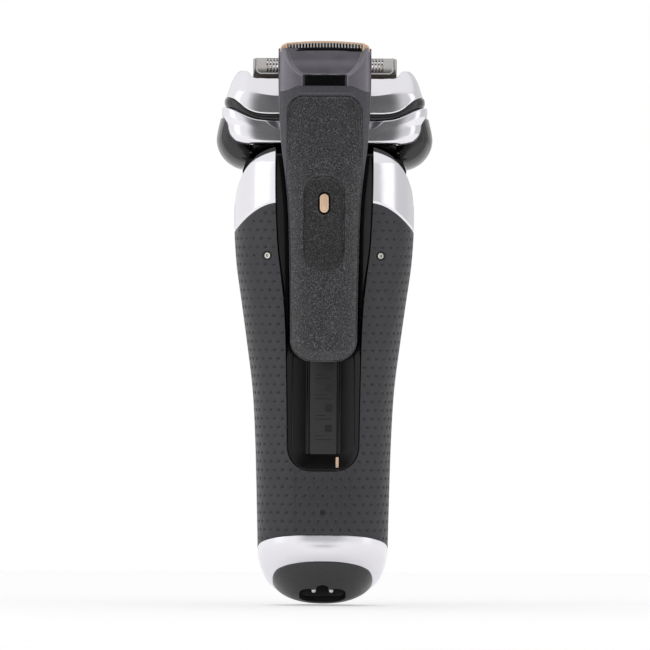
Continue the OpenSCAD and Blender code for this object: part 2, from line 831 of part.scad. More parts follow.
module cassette_core() {
  color([0.13, 0.1, 0.08]) difference() {
    box([-24, 24], [head_y - 13, head_y + 13], [150.4, 155.4]);
    box([-22.4, 22.4], [head_y - 12, head_y + 12], [151.6, 156]);
    for (y = [rear_foil_y, front_foil_y]) box([-8, 8], [y - 2.6, y + 2.6], [150, 152]);
  }
}

// Arched foil over one row of cutters
module foil_sheet(y) {
  color([0.78, 0.77, 0.76]) difference() {
    rod_x(foil_r, -foil_len / 2 + 0.6, foil_len / 2 - 0.6, y, foil_axis_z);
    rod_x(foil_r - foil_t, -30, 30, y, foil_axis_z);
    box([-30, 30], [y - 8, y + 8], [150, foil_axis_z + 0.3]);
  }
}

module foil_carrier(y) {
  color([0.2, 0.15, 0.1]) difference() {
    union() {
      box([-foil_len / 2, foil_len / 2], [y - foil_r, y + foil_r], [157.4, foil_axis_z + 0.25]);
      intersection() {
        rod_x(foil_r - foil_t - 0.05, -foil_len / 2 + 0.7, foil_len / 2 - 0.7, y, foil_axis_z);
        box([-foil_len / 2, foil_len / 2], [y - 6, y + 6], [foil_axis_z, foil_axis_z + 6]);
      }
    }
    box([-20.7, 20.7], [y - foil_r + 0.9, y + foil_r - 0.9], [150, 168]);
    rod_x(foil_r - foil_t - 0.05, -20.7, 20.7, y, foil_axis_z);
  }
}

module foil_rear() foil_sheet(rear_foil_y);
module foil_front() foil_sheet(front_foil_y);
module foil_rear_carrier() foil_carrier(rear_foil_y);
module foil_front_carrier() foil_carrier(front_foil_y);

// Row of thin arched blades on a spine, with a hub that takes the bridge's post
module cutter(y) {
  blade_r = foil_r - foil_t - 0.25;
  blade_t = 0.4;
  blades = 22;
  first_x = -18.9;
  step = (2 * -first_x - blade_t) / (blades - 1);
  color([0.6, 0.6, 0.62]) difference() {
    union() {
      for (i = [0 : blades - 1])
        translate([first_x + i * step, y, foil_axis_z]) rotate([90, 0, 90]) linear_extrude(blade_t)
          difference() {
            circle(blade_r);
            circle(blade_r - 1.6);
            translate([-6, -11.2]) square([12, 10]);
          }
      box([first_x, -first_x], [y - 3.4, y + 3.4], [foil_axis_z - 1.9, foil_axis_z - 0.95]);
      translate([0, y, 154.2]) cylinder(r = 2, h = 6);
    }
    translate([0, y, 150]) cylinder(r = 0.98, h = 8.6);
  }
}

module cutter_rear() cutter(rear_foil_y);
module cutter_front() cutter(front_foil_y);

module cutter_springs() {
  color("silver") for (x = [-19.5, 16.5], y = [rear_foil_y, front_foil_y])
    translate([x + 1.5, y, 151.7]) rotate([0, -90, 0]) coil(1, 0.18, 5.3, 4);
}

// Comb between the foils that lifts flat-lying hairs
module lift_trimmer() {
  color([0.82, 0.66, 0.45]) difference() {
    union() {
      box([-19, 19], [head_y - 0.9, head_y + 0.9], [156.5, 164.6]);
      box([-20, 20], [head_y - 1.3, head_y + 1.3], [156.5, 160.5]);
    }
    for (i = [-14 : 14]) translate([i * 1.25 - 0.3, head_y - 2, 163]) cube([0.6, 4, 3]);
  }
}

module skin_guard() {
  color([0.7, 0.7, 0.7]) for (side = [-1, 1])
    translate([-20.5, head_y + side * 1.55 - 0.15, 156.5]) cube([41, 0.3, 7.4]);
}

// ---------- trimmer ----------

button_z = trimmer_foot_z + 48;

module trimmer_body() {
  color([0.2, 0.2, 0.21]) difference() {
    intersection() {
      trimmer_slab(0, trimmer_skin_y, trimmer_back_y);
      box([-20, 20], [-30, 0], [trimmer_foot_z - 1, nose_z]);
    }
    rounded_plate(3.9, 7, 1.9, -30, -17.2, button_z);
    rounded_plate(1.6, 3, 0.7, -30, 0, button_z);
    box([-5, 5], [-17.8, -10], [nose_z - 12, nose_z + 5]);
  }
}

module grip_insert() {
  color([0.17, 0.17, 0.18]) difference() {
    intersection() {
      trimmer_slab(-2.2, trimmer_face_y, trimmer_skin_y - 0.05);
      box([-20, 20], [-30, 0], [trimmer_foot_z - 1, nose_z - 2.2]);
    }
    rounded_plate(12.8, 29, 4, -30, trimmer_face_y + 0.8, trimmer_foot_z + 41.7);
    rounded_plate(3.9, 7, 1.9, -30, 0, button_z);
  }
}

module trimmer_nose() {
  color([0.38, 0.36, 0.39]) difference() {
    intersection() {
      trimmer_slab(0, trimmer_face_y + 0.2, trimmer_back_y);
      box([-20, 20], [-30, 0], [nose_z + 0.05, trimmer_end_z]);
    }
    box([-11.6, 11.6], [-19.4, -16.4], [160, 170]);
    rounded_plate(12.3, 3.4, 0.5, -30, -19, nose_z + 2.8);
    box([-4.6, 4.6], [-17.7, -10], [150, 161]);
  }
}

module trimmer_window() {
  color([0.02, 0.02, 0.02])
    rounded_plate(12.1, 3.2, 0.45, trimmer_face_y + 0.6, -19.1, nose_z + 2.8);
}

comb_teeth = 25;
tooth_pitch = 0.92;

// Fixed comb: a curved plate with fine teeth along its crown
module trimmer_comb() {
  half = trimmer_w / 2 - 0.4;
  crown = [for (i = [0 : 12]) let (x = mix(-half, half, i / 12))
    [x, 2.9 - 0.9 * pow(x / half, 2)]];
  color([0.82, 0.66, 0.45]) translate([0, 0, trimmer_end_z]) difference() {
    plate_xz(-17.6, -16.5) polygon(concat([[half, 0], [-half, 0]], crown));
    for (i = [0 : comb_teeth - 1])
      translate([(i - (comb_teeth - 1) / 2) * tooth_pitch - 0.2, -17.8, 1.5]) cube([0.4, 0.6, 2]);
  }
}

module trimmer_blade() {
  plate_h = 1.9;
  color([0.3, 0.3, 0.3]) translate([0, 0, trimmer_end_z]) difference() {
    box([-10.3, 10.3], [-18.2, -17.7], [-2, plate_h]);
    for (i = [0 : comb_teeth - 4])
      translate([(i - (comb_teeth - 4) / 2) * tooth_pitch - 0.2, -18.4, 0.7]) cube([0.4, 1, 2]);
  }
}

module blade_carrier() {
  color([0.06, 0.06, 0.06]) difference() {
    box([-9.5, 9.5], [-19.1, -18.25], [162, trimmer_end_z - 0.4]);
    for (side = [-1, 1]) rod_y(0.6, -20, -18, side * 6, 164.5);
  }
}

module trimmer_runners() {
  color([0.1, 0.1, 0.1]) for (side = [-1, 1])
    rounded_plate(0.9, 26, 0.4, trimmer_back_y + 0.02, channel_floor_y + 0.75, trimmer_foot_z + 18,
      side * groove_x);
}

module button_surround() {
  color([0.05, 0.05, 0.05]) difference() {
    rounded_plate(3.7, 6.8, 1.8, trimmer_face_y + 0.75, -17.3, button_z);
    rounded_plate(2.96, 5.96, 1.44, -30, -17.9, button_z);
    rounded_plate(1.6, 3, 0.7, -30, 0, button_z);
  }
}

module trimmer_lock_button() {
  color([0.8, 0.64, 0.42]) {
    rounded_plate(2.8, 5.8, 1.36, trimmer_face_y + 0.65, -18.8, button_z);
    rounded_plate(1.3, 2.7, 0.5, -18.9, -16.6, button_z);
  }
}

rear_shell();
front_shell();
rear_grip();
front_cover();
shoulder_cover();
base_ring();
end_cap();
base_seal();
socket_housing();
socket_pins();
case_screws();
vent_plug();
trimmer_channel();
label_plate();
contact_pins();
contact_bushes();
inner_frame();
battery_cell();
circuit_board();
display_window();
motor_stator();
motor_bracket();
neck_plate();
head_yoke();
pivot_pins();
drive_boot();
button_bezel();
power_button();
lock_switch();
drive_armature();
drive_pin();
head_base();
head_frame();
gap_band();
drive_bridge();
release_spring_left();
release_spring_right();
release_button_left();
release_button_right();
cassette_frame();
cassette_core();
cutter_springs();
foil_rear();
foil_rear_carrier();
foil_front();
foil_front_carrier();
cutter_rear();
cutter_front();
lift_trimmer();
skin_guard();
trimmer_body();
trimmer_nose();
grip_insert();
trimmer_window();
trimmer_comb();
trimmer_runners();
button_surround();
trimmer_lock_button();
trimmer_blade();
blade_carrier();
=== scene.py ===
"""Looks of the cordless foil shaver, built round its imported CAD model.

Lengths in this script are millimetres in the model's frame, and piece() turns them into metres.
Z is the long axis, the back with the long-hair trimmer faces -Y, and the front faces +Y.
"""

import json
import math

import bmesh
import bpy
import numpy as np
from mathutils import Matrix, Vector


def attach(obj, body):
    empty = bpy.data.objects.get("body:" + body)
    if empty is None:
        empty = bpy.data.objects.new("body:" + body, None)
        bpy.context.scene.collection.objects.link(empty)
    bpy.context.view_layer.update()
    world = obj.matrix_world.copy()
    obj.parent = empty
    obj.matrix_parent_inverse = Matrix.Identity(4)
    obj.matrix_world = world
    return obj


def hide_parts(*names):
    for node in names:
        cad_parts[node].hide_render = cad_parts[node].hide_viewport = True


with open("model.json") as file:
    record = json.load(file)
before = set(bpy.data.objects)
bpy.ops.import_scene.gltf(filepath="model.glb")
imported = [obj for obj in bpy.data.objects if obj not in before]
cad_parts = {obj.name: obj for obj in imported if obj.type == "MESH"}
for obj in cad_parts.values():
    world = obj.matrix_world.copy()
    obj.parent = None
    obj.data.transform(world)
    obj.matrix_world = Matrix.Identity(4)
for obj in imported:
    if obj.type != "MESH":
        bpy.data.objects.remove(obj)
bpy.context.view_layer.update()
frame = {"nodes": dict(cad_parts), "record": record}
MM = 0.001
MERGE = 1e-7
TINY = 1e-12

# Glows of the world: axis, sign, where along it the glow starts and is full, and its brightness
WORLD_GLOWS = [
    ("X", -1, 0.16, 0.38, 0.84),
    ("X", 1, 0.16, 0.38, 0.56),
    ("Z", 1, 0.25, 0.75, 0.8),
    ("Y", 1, 0.0, 0.6, 0.6),
]
WORLD_DARK = 0.1
FLOOR_HALF = 0.6
FLOOR_GREY = (0.9, 0.9, 0.9)


# ---------- camera, light and floor ----------

def add_camera():
    """Long lens straight behind the shaver, level with the middle of the view."""
    distance = 4.5
    view_width = 0.1979
    view_height_z = 0.0853
    roll = math.radians(-0.28)
    data = bpy.data.cameras.new("camera")
    data.sensor_width = 36
    data.lens = data.sensor_width * distance / view_width
    data.clip_start = 0.05
    data.clip_end = 20
    camera = bpy.data.objects.new("camera", data)
    camera.location = (0.0004, -distance, view_height_z)
    camera.rotation_euler = (math.radians(90), roll, 0)
    bpy.context.collection.objects.link(camera)
    bpy.context.scene.camera = camera


def add_light(name, place, aim, width, height, watts):
    """Soft box of a size in metres at a place, turned towards its aim."""
    data = bpy.data.lights.new(name, "AREA")
    data.shape = "RECTANGLE"
    data.size = width
    data.size_y = height
    data.energy = watts
    light = bpy.data.objects.new(name, data)
    light.location = place
    light.rotation_mode = "QUATERNION"
    light.rotation_quaternion = (Vector(aim) - Vector(place)).to_track_quat("-Z", "Y")
    bpy.context.collection.objects.link(light)


def add_node(tree, kind, inputs, **settings):
    """New shader node with its settings, and its inputs by name: a value, or an output to link from."""
    node = tree.nodes.new("ShaderNode" + kind)
    for name, value in settings.items():
        setattr(node, name, value)
    for name, value in inputs.items():
        if isinstance(value, bpy.types.NodeSocket):
            tree.links.new(value, node.inputs[name])
        else:
            node.inputs[name].default_value = value
    return node


def add_studio():
    """Pale floor, soft boxes, and a world that looks white but lights from the sides and from above."""
    world = bpy.data.worlds.new("studio")
    world.use_nodes = True
    tree = world.node_tree
    direction = add_node(tree, "TexCoord", {}).outputs["Generated"]
    split = add_node(tree, "SeparateXYZ", {"Vector": direction})

    def calculate(operation, first, second):
        return add_node(tree, "Math", {0: first, 1: second}, operation=operation).outputs[0]

    strength = 0.0
    for axis, sign, start, full, brightness in WORLD_GLOWS:
        along = calculate("MULTIPLY", split.outputs[axis], sign)
        span = {"From Min": start, "From Max": full, "To Min": 0, "To Max": brightness}
        glow = add_node(tree, "MapRange", {"Value": along, **span}, interpolation_type="SMOOTHSTEP")
        strength = calculate("MAXIMUM", strength, glow.outputs["Result"])
    strength = calculate("ADD", strength, WORLD_DARK)
    seen = add_node(tree, "LightPath", {}).outputs["Is Camera Ray"]
    background = tree.nodes["Background"]
    background.inputs["Color"].default_value = (1, 1, 1, 1)
    tree.links.new(calculate("MAXIMUM", strength, seen), background.inputs["Strength"])
    bpy.context.scene.world = world
    bpy.context.scene.view_settings.view_transform = "Standard"

    middle = (0, 0, 0.09)
    add_light("left_box", (-0.85, -0.55, 0.4), middle, 0.5, 1.1, 0.8)
    add_light("right_box", (0.9, -0.5, 0.35), middle, 0.5, 0.9, 0.8)
    add_floor()


def add_floor():
    """Pale floor that glows a little, so that it stays near white."""
    half = FLOOR_HALF
    corners = [(-half, -half, 0), (half, -half, 0), (half, half, 0), (-half, half, 0)]
    mesh = bpy.data.meshes.new("floor")
    mesh.from_pydata(corners, [], [(0, 1, 2, 3)])
    floor = bpy.data.objects.new("floor", mesh)
    bpy.context.collection.objects.link(floor)
    paint = Material("floor", FLOOR_GREY, 0.9, Emission_Color=(1, 1, 1, 1), Emission_Strength=0.2)
    mesh.materials.append(paint.material)


# ---------- materials ----------

class Material:
    """A Principled material with helpers that add noise, bump, wear and painted glints to it."""

    def __init__(self, name, color, roughness, **inputs):
        self.name = name
        self.material = bpy.data.materials.new(name)
        self.material.use_nodes = True
        self.tree = self.material.node_tree
        self.inputs = self.tree.nodes["Principled BSDF"].inputs
        self.color = color
        self.roughness = roughness
        self.inputs["Base Color"].default_value = (*color, 1)
        self.inputs["Roughness"].default_value = roughness
        for socket, value in inputs.items():
            self.inputs[socket.replace("_", " ")].default_value = value

    def noise(self, size_mm, detail=2, stretch=(1, 1, 1)):
        """Noise with features of about that size, drawn out along the axes where stretch is below 1."""
        place = add_node(self.tree, "TexCoord", {}).outputs["Object"]
        place = add_node(self.tree, "Mapping", {"Vector": place, "Scale": stretch}).outputs["Vector"]
        scale = 1 / (size_mm * MM)
        noise = add_node(self.tree, "TexNoise", {"Vector": place, "Scale": scale, "Detail": detail})
        return noise.outputs["Fac"]

    def ramp(self, noise, low, high):
        """Noise, from its usual 0.3 to 0.7, turned into values from low to high, and kept between them."""
        span = {"From Min": 0.3, "From Max": 0.7, "To Min": low, "To Max": high}
        return add_node(self.tree, "MapRange", {"Value": noise, **span}).outputs["Result"]

    def mix_color(self, first, second, factor):
        mix = add_node(self.tree, "Mix", {"A": first, "B": second, "Factor": factor}, data_type="RGBA")
        self.tree.links.new(mix.outputs["Result"], self.inputs["Base Color"])
        return self

    def vary_color(self, size_mm, amount):
        """Mottles the colour by that share, lighter and darker."""
        dark = [c * (1 - amount) for c in self.color]
        light = [min(1, c * (1 + amount)) for c in self.color]
        return self.mix_color((*dark, 1), (*light, 1), self.ramp(self.noise(size_mm, 3), 0, 1))

    def painted_glints(self, size_mm, color):
        """Scatters pale spots of a colour over the colour so far: painted glints that stand in for a sparkle
        of light.
        """
        links = self.inputs["Base Color"].links
        under = links[0].from_socket if links else (*self.color, 1)
        glint_spots = add_node(self.tree, "Clamp", {"Value": self.ramp(self.noise(size_mm, 1), -1, 1)})
        return self.mix_color(under, (*color, 1), glint_spots.outputs["Result"])

    def vary_roughness(self, size_mm, amount):
        varied = self.ramp(self.noise(size_mm, 4), self.roughness - amount, self.roughness + amount)
        self.tree.links.new(varied, self.inputs["Roughness"])
        return self

    def bump(self, size_mm, height_mm, stretch=(1, 1, 1)):
        height = self.noise(size_mm, 2, stretch)
        bump = add_node(self.tree, "Bump", {"Height": height, "Strength": 1, "Distance": height_mm * MM})
        self.tree.links.new(bump.outputs["Normal"], self.inputs["Normal"])
        return self


# Slot, colour, roughness, its variation (size in mm, amount), and bump (size in mm, height in mm)
PLAIN_FINISHES = [
    ("front_plastic", (0.009, 0.009, 0.01), 0.22, (7, 0.06), (0.4, 0.002)),
    ("case_plastic", (0.012, 0.012, 0.012), 0.5, (3, 0.08), (0.3, 0.006)),
    ("cap_plastic", (0.024, 0.024, 0.0245), 0.3, (5, 0.05), (0.3, 0.002)),
    ("carrier_plastic", (0.035, 0.025, 0.018), 0.3, (2, 0.06), (0.3, 0.003)),
    ("seal_rubber", (0.01, 0.01, 0.01), 0.55, (1.5, 0.1), (0.25, 0.01)),
    ("label", (0.009, 0.009, 0.0093), 0.34, (3, 0.06), (0.3, 0.003)),
]
# The same, with how metallic each one is before its bump
METALS = [
    ("satin_silver", (0.86, 0.845, 0.885), 0.2, (6, 0.03), 1.0, (0.35, 0.0006)),
    ("nickel", (0.8, 0.78, 0.75), 0.2, (0.8, 0.06), 0.7, (0.3, 0.002)),
    ("spring_steel", (0.55, 0.54, 0.53), 0.25, (0.5, 0.08), 1.0, (0.2, 0.003)),
    ("blade_steel", (0.16, 0.16, 0.16), 0.3, (0.6, 0.07), 1.0, (0.2, 0.001, (1, 1, 0.1))),
    ("foil_steel", (0.48, 0.465, 0.455), 0.24, (1.2, 0.05), 1.0, (0.3, 0.0004)),
    ("gold_metal", (0.85, 0.6, 0.42), 0.38, (2, 0.04), 0.5, (0.4, 0.0004)),
]


def make_materials():
    """Finished materials by name: one for each material slot of the record, and two more looks."""
    made = [Material(*look).vary_roughness(*worn).bump(*grain) for *look, worn, grain in PLAIN_FINISHES]
    for *look, worn, metallic, grain in METALS:
        made.append(Material(*look, Metallic=metallic).vary_roughness(*worn).bump(*grain))
    made += [
        Material("grip_rubber", (0.025, 0.0225, 0.0275), 0.43)
        .vary_color(9, 0.1).vary_roughness(2.5, 0.06).bump(0.3, 0.014),
        Material("gloss_black", (0.002, 0.002, 0.0022), 0.14, Specular_IOR_Level=0.35)
        .vary_roughness(5, 0.05).bump(3, 0.003),
        Material("grey_gloss", (0.014, 0.0137, 0.014), 0.18, Coat_Weight=0.3)
        .vary_roughness(8, 0.04).bump(2.5, 0.004),
        # The pale spots on the trimmer plastic are painted glints, standing in for the sparkle of light on
        # its grain.
        Material("trimmer_plastic", (0.018, 0.0176, 0.0195), 0.3)
        .vary_color(6, 0.1).painted_glints(0.3, (0.13, 0.127, 0.137)).vary_roughness(0.6, 0.1).bump(0.42, 0.15),
        # The pale spots on the thumb rest are painted glints as well.
        Material("thumb_rest", (0.01, 0.0098, 0.0108), 0.32)
        .painted_glints(0.3, (0.08, 0.078, 0.084)).vary_roughness(0.6, 0.1).bump(0.42, 0.13),
        Material("trimmer_satin", (0.062, 0.059, 0.069), 0.36)
        .vary_color(0.4, 0.35).vary_roughness(0.8, 0.08).bump(0.4, 0.03),
        Material("nose_plastic", (0.2, 0.186, 0.215), 0.32, Metallic=0.7)
        .vary_color(6, 0.05).vary_roughness(4, 0.05).bump(0.3, 0.0006),
        Material("frame_plastic", (0.6, 0.58, 0.53), 0.45)
        .vary_color(8, 0.05).vary_roughness(3, 0.08).bump(0.4, 0.006),
        Material("cell_wrap", (0.02, 0.16, 0.25), 0.3)
        .vary_color(6, 0.08).vary_roughness(4, 0.08).bump(1.5, 0.01),
        Material("board", (0.01, 0.09, 0.03), 0.35)
        .vary_color(1, 0.2).vary_roughness(1, 0.08).bump(0.6, 0.01),
        Material("motor_steel", (0.3, 0.27, 0.25), 0.42, Metallic=0.9)
        .vary_color(2, 0.15).vary_roughness(1, 0.1).bump(0.4, 0.01, (0.1, 1, 1)),
    ]
    return {look.name: look.material for look in made}


# ---------- geometry helpers ----------

def smooth_curve(rows):
    """Smooth function of a position through rows of (position, value, value ...), one result a value."""
    table = np.array(rows, float)
    where, values = table[:, 0], table[:, 1:]
    slopes = np.gradient(values, where, axis=0)

    def at(x):
        x = np.clip(np.asarray(x, float), where[0], where[-1])
        i = np.clip(np.searchsorted(where, x) - 1, 0, len(where) - 2)
        step = where[i + 1] - where[i]
        t = (x - where[i]) / step
        t, step = t[..., None], step[..., None]
        made = (
            (2 * t**3 - 3 * t**2 + 1) * values[i]
            + (t**3 - 2 * t**2 + t) * step * slopes[i]
            + (3 * t**2 - 2 * t**3) * values[i + 1]
            + (t**3 - t**2) * step * slopes[i + 1]
        )
        return [made[..., k] for k in range(values.shape[1])]

    return at


def smooth_step(x, low, high):
    """Soft rise from 0 at low to 1 at high."""
    t = np.clip((x - low) / (high - low), 0, 1)
    return t * t * (3 - 2 * t)


def piece(name, shape, slot, body, nodes=(), sharp=35, look=None):
    """Makes a mesh of (points, faces) in millimetres that rides on a body and stands for CAD nodes."""
    points, faces = shape
    mesh = bpy.data.meshes.new(name)
    mesh.from_pydata((np.asarray(points, float) * MM).tolist(), [], [tuple(map(int, f)) for f in faces])
    tidy = bmesh.new()
    tidy.from_mesh(mesh)
    bmesh.ops.remove_doubles(tidy, verts=tidy.verts, dist=MERGE)
    bmesh.ops.dissolve_degenerate(tidy, edges=tidy.edges, dist=MERGE)
    loose = [v for v in tidy.verts if not v.link_faces]
    bmesh.ops.delete(tidy, geom=loose, context="VERTS")
    bmesh.ops.recalc_face_normals(tidy, faces=tidy.faces)
    tidy.to_mesh(mesh)
    tidy.free()
    # The many-sided faces that close an end stay flat
    mesh.polygons.foreach_set("use_smooth", [len(face.vertices) < 5 for face in mesh.polygons])
    mesh.set_sharp_from_angle(angle=math.radians(sharp))
    mesh.materials.append(materials[look or slot])
    made = bpy.data.objects.new(name, mesh)
    bpy.context.collection.objects.link(made)
    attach(made, body)
    if nodes:
        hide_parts(*nodes)


def joined(*parts):
    """Several (points, faces) as one."""
    points, faces, start = [], [], 0
    for part_points, part_faces in parts:
        part_points = np.asarray(part_points, float).reshape(-1, 3)
        points.append(part_points)
        faces += [tuple(i + start for i in f) for f in part_faces]
        start += len(part_points)
    return np.concatenate(points), faces


def row(x, y, z):
    """Row of points of a grid; any of x, y and z may be one number for the whole row."""
    return np.stack(np.broadcast_arrays(x, y, z), axis=-1)


def at_depth(outline, y):
    """Row of points of an (x, z) outline, set at one depth or at a depth for each point."""
    outline = np.asarray(outline, float)
    return row(outline[:, 0], y, outline[:, 1])


def mirrored(outline):
    """The other half of an outline that is the same on both sides, in the order that goes on from it."""
    return [(-x, z) for x, z in reversed(outline)]


def lattice(rows, wrap=False, ends=False, closed=False):
    """(points, faces) of rows of points.

    wrap joins each row's ends, ends puts a face on the first and last row, closed joins those two rows.
    """
    grid = np.array(rows + rows[:1] if closed else rows)
    rows, columns = grid.shape[:2]
    faces = []
    for r in range(rows - 1):
        for c in range(columns if wrap else columns - 1):
            d = (c + 1) % columns
            faces.append((r * columns + c, r * columns + d, (r + 1) * columns + d, (r + 1) * columns + c))
    if ends:
        faces.append(tuple(range(columns)))
        faces.append(tuple(range((rows - 1) * columns, rows * columns)))
    return grid.reshape(-1, 3), faces


def trim(shape, hidden_at):
    """Cuts a fine mesh where hidden_at(x, y, z) is true, with its edge points moved onto the cut."""
    points, faces = np.array(shape[0], float), shape[1]
    bisections = 14

    def gap(i, j):
        return np.sum((points[i] - points[j]) ** 2)

    hidden = hidden_at(*points.T)
    kept = [f for f in faces if not all(hidden[i] for i in f)]
    partner = {}
    for f in kept:
        shown = [j for j in f if not hidden[j]]
        for i in f:
            if hidden[i]:
                nearest = min(shown, key=lambda j: gap(i, j))
                if i not in partner or gap(i, nearest) < gap(i, partner[i]):
                    partner[i] = nearest
    if partner:
        at = np.array(list(partner))
        inner, outer = points[at], points[list(partner.values())]
        for _ in range(bisections):
            middle = (inner + outer) / 2
            inside = hidden_at(*middle.T)[:, None]
            inner, outer = np.where(inside, middle, inner), np.where(inside, outer, middle)
        points[at] = outer
    return points, kept


def with_rim(shape, inward):
    """Adds a strip from every open edge to where inward(points) puts its points."""
    points, faces = shape
    count = {}
    for f in faces:
        for a, b in zip(f, f[1:] + f[:1]):
            key = (min(a, b), max(a, b))
            count[key] = None if key in count else (a, b)
    edges = [e for e in count.values() if e and np.sum((points[e[0]] - points[e[1]]) ** 2) > 1e-10]
    used = sorted({i for e in edges for i in e})
    new = {i: len(points) + k for k, i in enumerate(used)}
    strip = [(b, a, new[a], new[b]) for a, b in edges]
    return np.concatenate([points, inward(points[used])]), faces + strip


def inside_outline(outline):
    """Test of x and z arrays against a closed outline of (x, z) points."""
    a = np.array(outline, float)
    b = np.roll(a, -1, axis=0)

    def test(x, z):
        x, z = np.asarray(x)[..., None], np.asarray(z)[..., None]
        crosses = (a[:, 1] > z) != (b[:, 1] > z)
        rise = np.where(b[:, 1] == a[:, 1], 1, b[:, 1] - a[:, 1])
        at = a[:, 0] + (z - a[:, 1]) * (b[:, 0] - a[:, 0]) / rise
        return np.sum(crosses & (x < at), axis=-1) % 2 == 1

    return test


def rounded_outline(width, height, radius, x=0, z=0, steps=8):
    """Anticlockwise (x, z) outline of a rounded rectangle about a middle."""
    corners = [(1, 1, 0), (-1, 1, 90), (-1, -1, 180), (1, -1, 270)]
    return [
        (
            x + sx * (width / 2 - radius) + radius * math.cos(math.radians(start + 90 * k / steps)),
            z + sz * (height / 2 - radius) + radius * math.sin(math.radians(start + 90 * k / steps)),
        )
        for sx, sz, start in corners
        for k in range(steps + 1)
    ]


def inset_outline(outline, amount):
    """Outline with every point moved inwards along its own corner direction."""
    a = np.array(outline, float)
    ahead, behind = np.roll(a, -1, axis=0) - a, a - np.roll(a, 1, axis=0)
    ahead /= np.linalg.norm(ahead, axis=1)[:, None] + TINY
    behind /= np.linalg.norm(behind, axis=1)[:, None] + TINY
    normal = np.stack([-(ahead + behind)[:, 1], (ahead + behind)[:, 0]], axis=1)
    length = np.linalg.norm(normal, axis=1)[:, None]
    normal = normal / (length + TINY)
    stretch = np.clip(2 / (length + TINY), 1, 1.6)
    return a + normal * amount * stretch


def plate(outline, y_back, y_front, edge, steps=3):
    """Solid plate with rounded edges; its outline runs anticlockwise in x and z, and y_back is behind."""
    turn = np.linspace(0, math.pi / 2, steps + 1)
    rounds = [(edge * (1 - math.sin(t)), edge * (1 - math.cos(t))) for t in turn]
    rings = [(inset, y_back + depth) for inset, depth in rounds]
    rings += [(inset, y_front - depth) for inset, depth in reversed(rounds)]
    rows = [at_depth(inset_outline(outline, inset), y) for inset, y in rings]
    return lattice(rows, wrap=True, ends=True)


def lathe(profile, steps, centre=(0, 0, 0), ends=True):
    """Shape of revolution of (radius, y) points round an axis along Y; ends=False for a closed profile."""
    turn = np.linspace(0, 2 * math.pi, steps, endpoint=False)
    rows = [row(r * np.cos(turn), d, r * np.sin(turn)) + np.array(centre) for r, d in profile]
    return lattice(rows, wrap=True, ends=ends)


# ---------- handle ----------

# Roundness of the handle's section, its half widths, and the seam's angle in front of the middle
HANDLE_N = 2.6
HANDLE_HALF = 27.3
HANDLE_FOOT_HALF = 19.8
SEAM_TURN = 9
GRIP_PITCH = 2.8
GRIP_ROW = 2.6
DIMPLE_R = 0.62
DIMPLE_DEPTH = 0.58
CONTACT_X = 17.3
CONTACT_Z = 106.3
VENT_Z = 28.3
SKIN = 1.3
SHOULDER_FOOT_Z = 122
SHOULDER_RISE = 17.4

# Height, half width, depth behind and depth in front of the long axis
handle_size = smooth_curve([
    (16, 19.78, 15.3, 13.6),
    (22, 19.9, 16.1, 13.8),
    (30, 20.1, 16.95, 14.1),
    (40, 20.35, 17.6, 14.5),
    (52, 20.75, 18.15, 15.05),
    (66, 21.6, 18.6, 15.8),
    (80, 23.35, 18.95, 16.65),
    (92, 25.0, 19.25, 17.4),
    (104, 26.65, 19.5, 17.95),
    (114, 27.3, 19.6, 18.2),
    (124, 27.3, 19.3, 17.93),
    (130, 27.15, 18.85, 17.4),
    (134.6, 26.85, 18.2, 16.95),
    (140, 26.2, 16.05, 15.8),
])


def section(angle, width, back, front, n=HANDLE_N):
    """x and y of a rounded section at an angle; negative sines are its back."""
    c, s = np.cos(angle), np.sin(angle)
    depth = np.where(s < 0, back, front)
    return width * np.sign(c) * np.abs(c) ** (2 / n), depth * np.sign(s) * np.abs(s) ** (2 / n)


def handle_point(angle, z, inset=0.0):
    """x and y of the handle's skin at an angle and a height."""
    width, back, front = handle_size(z)
    return section(angle, width - inset, back - inset, front - inset)


def depth_share(x, z):
    """Share of the handle's full depth that its skin has at a distance x from the middle."""
    return np.clip(1 - np.abs(x / handle_size(z)[0]) ** HANDLE_N, 0, 1) ** (1 / HANDLE_N)


def handle_inward(points, amount=SKIN):
    """Moves points of the handle's skin towards the long axis, and straight in beside the channel."""
    flat = points * np.array([1, 1, 0])
    inward = -flat / np.linalg.norm(flat, axis=1)[:, None]
    x, y, z = points.T
    beside_channel = (np.abs(x) < TRIMMER_HALF + 1.45) & (y < 0) & (z > CHANNEL_FOOT_Z - 2)
    inward[beside_channel] = (0, 1, 0)
    return points + inward * amount


def foot_edge(y):
    """Height of the ring's sloped upper edge."""
    return 17.2 - 0.285 * y


def grip_edge(x):
    """Height of the grip's upper edge, level in the middle and bent down towards the sides."""
    return 122.3 - 8.4 * np.maximum(0, (np.abs(x) / HANDLE_HALF - 0.5) * 2) ** 2


def arch(x, foot, height):
    """Height of an arch across the handle, nearly level in its middle and steep at its ends."""
    return foot + height * np.sqrt(np.maximum(0, 1 - np.minimum(1, np.abs(x) / 27.1) ** 4.5))


# Height above the trimmer's lower end and half width of the trimmer
trimmer_half = smooth_curve([
    (0, 10.15),
    (8, 10.2),
    (30, 10.55),
    (43, 10.9),
    (49, 11.25),
    (55, 11.85),
    (60, 12.45),
    (66, 13.2),
    (75, 13.75),
    (120, 13.75),
])
TRIMMER_FOOT_Z = 74.2
TRIMMER_TRAVEL = 32.5
TRIMMER_HALF = 13.75
CORNER_R = 6.5


def trimmer_outline(grow, top, foot_z=TRIMMER_FOOT_Z, steps=60):
    """Closed outline of the trimmer, anticlockwise from the middle of its round lower end."""
    r = CORNER_R + grow
    inner = float(trimmer_half(0.0)[0]) - CORNER_R
    right = [(inner + r * math.sin(t), CORNER_R - r * math.cos(t)) for t in np.linspace(0, math.pi / 2, 12)]
    right += [(float(trimmer_half(h)[0]) + grow, h) for h in np.linspace(CORNER_R + 1, top, steps)]
    right = [(x, z + foot_z) for x, z in right]
    return right + mirrored(right)


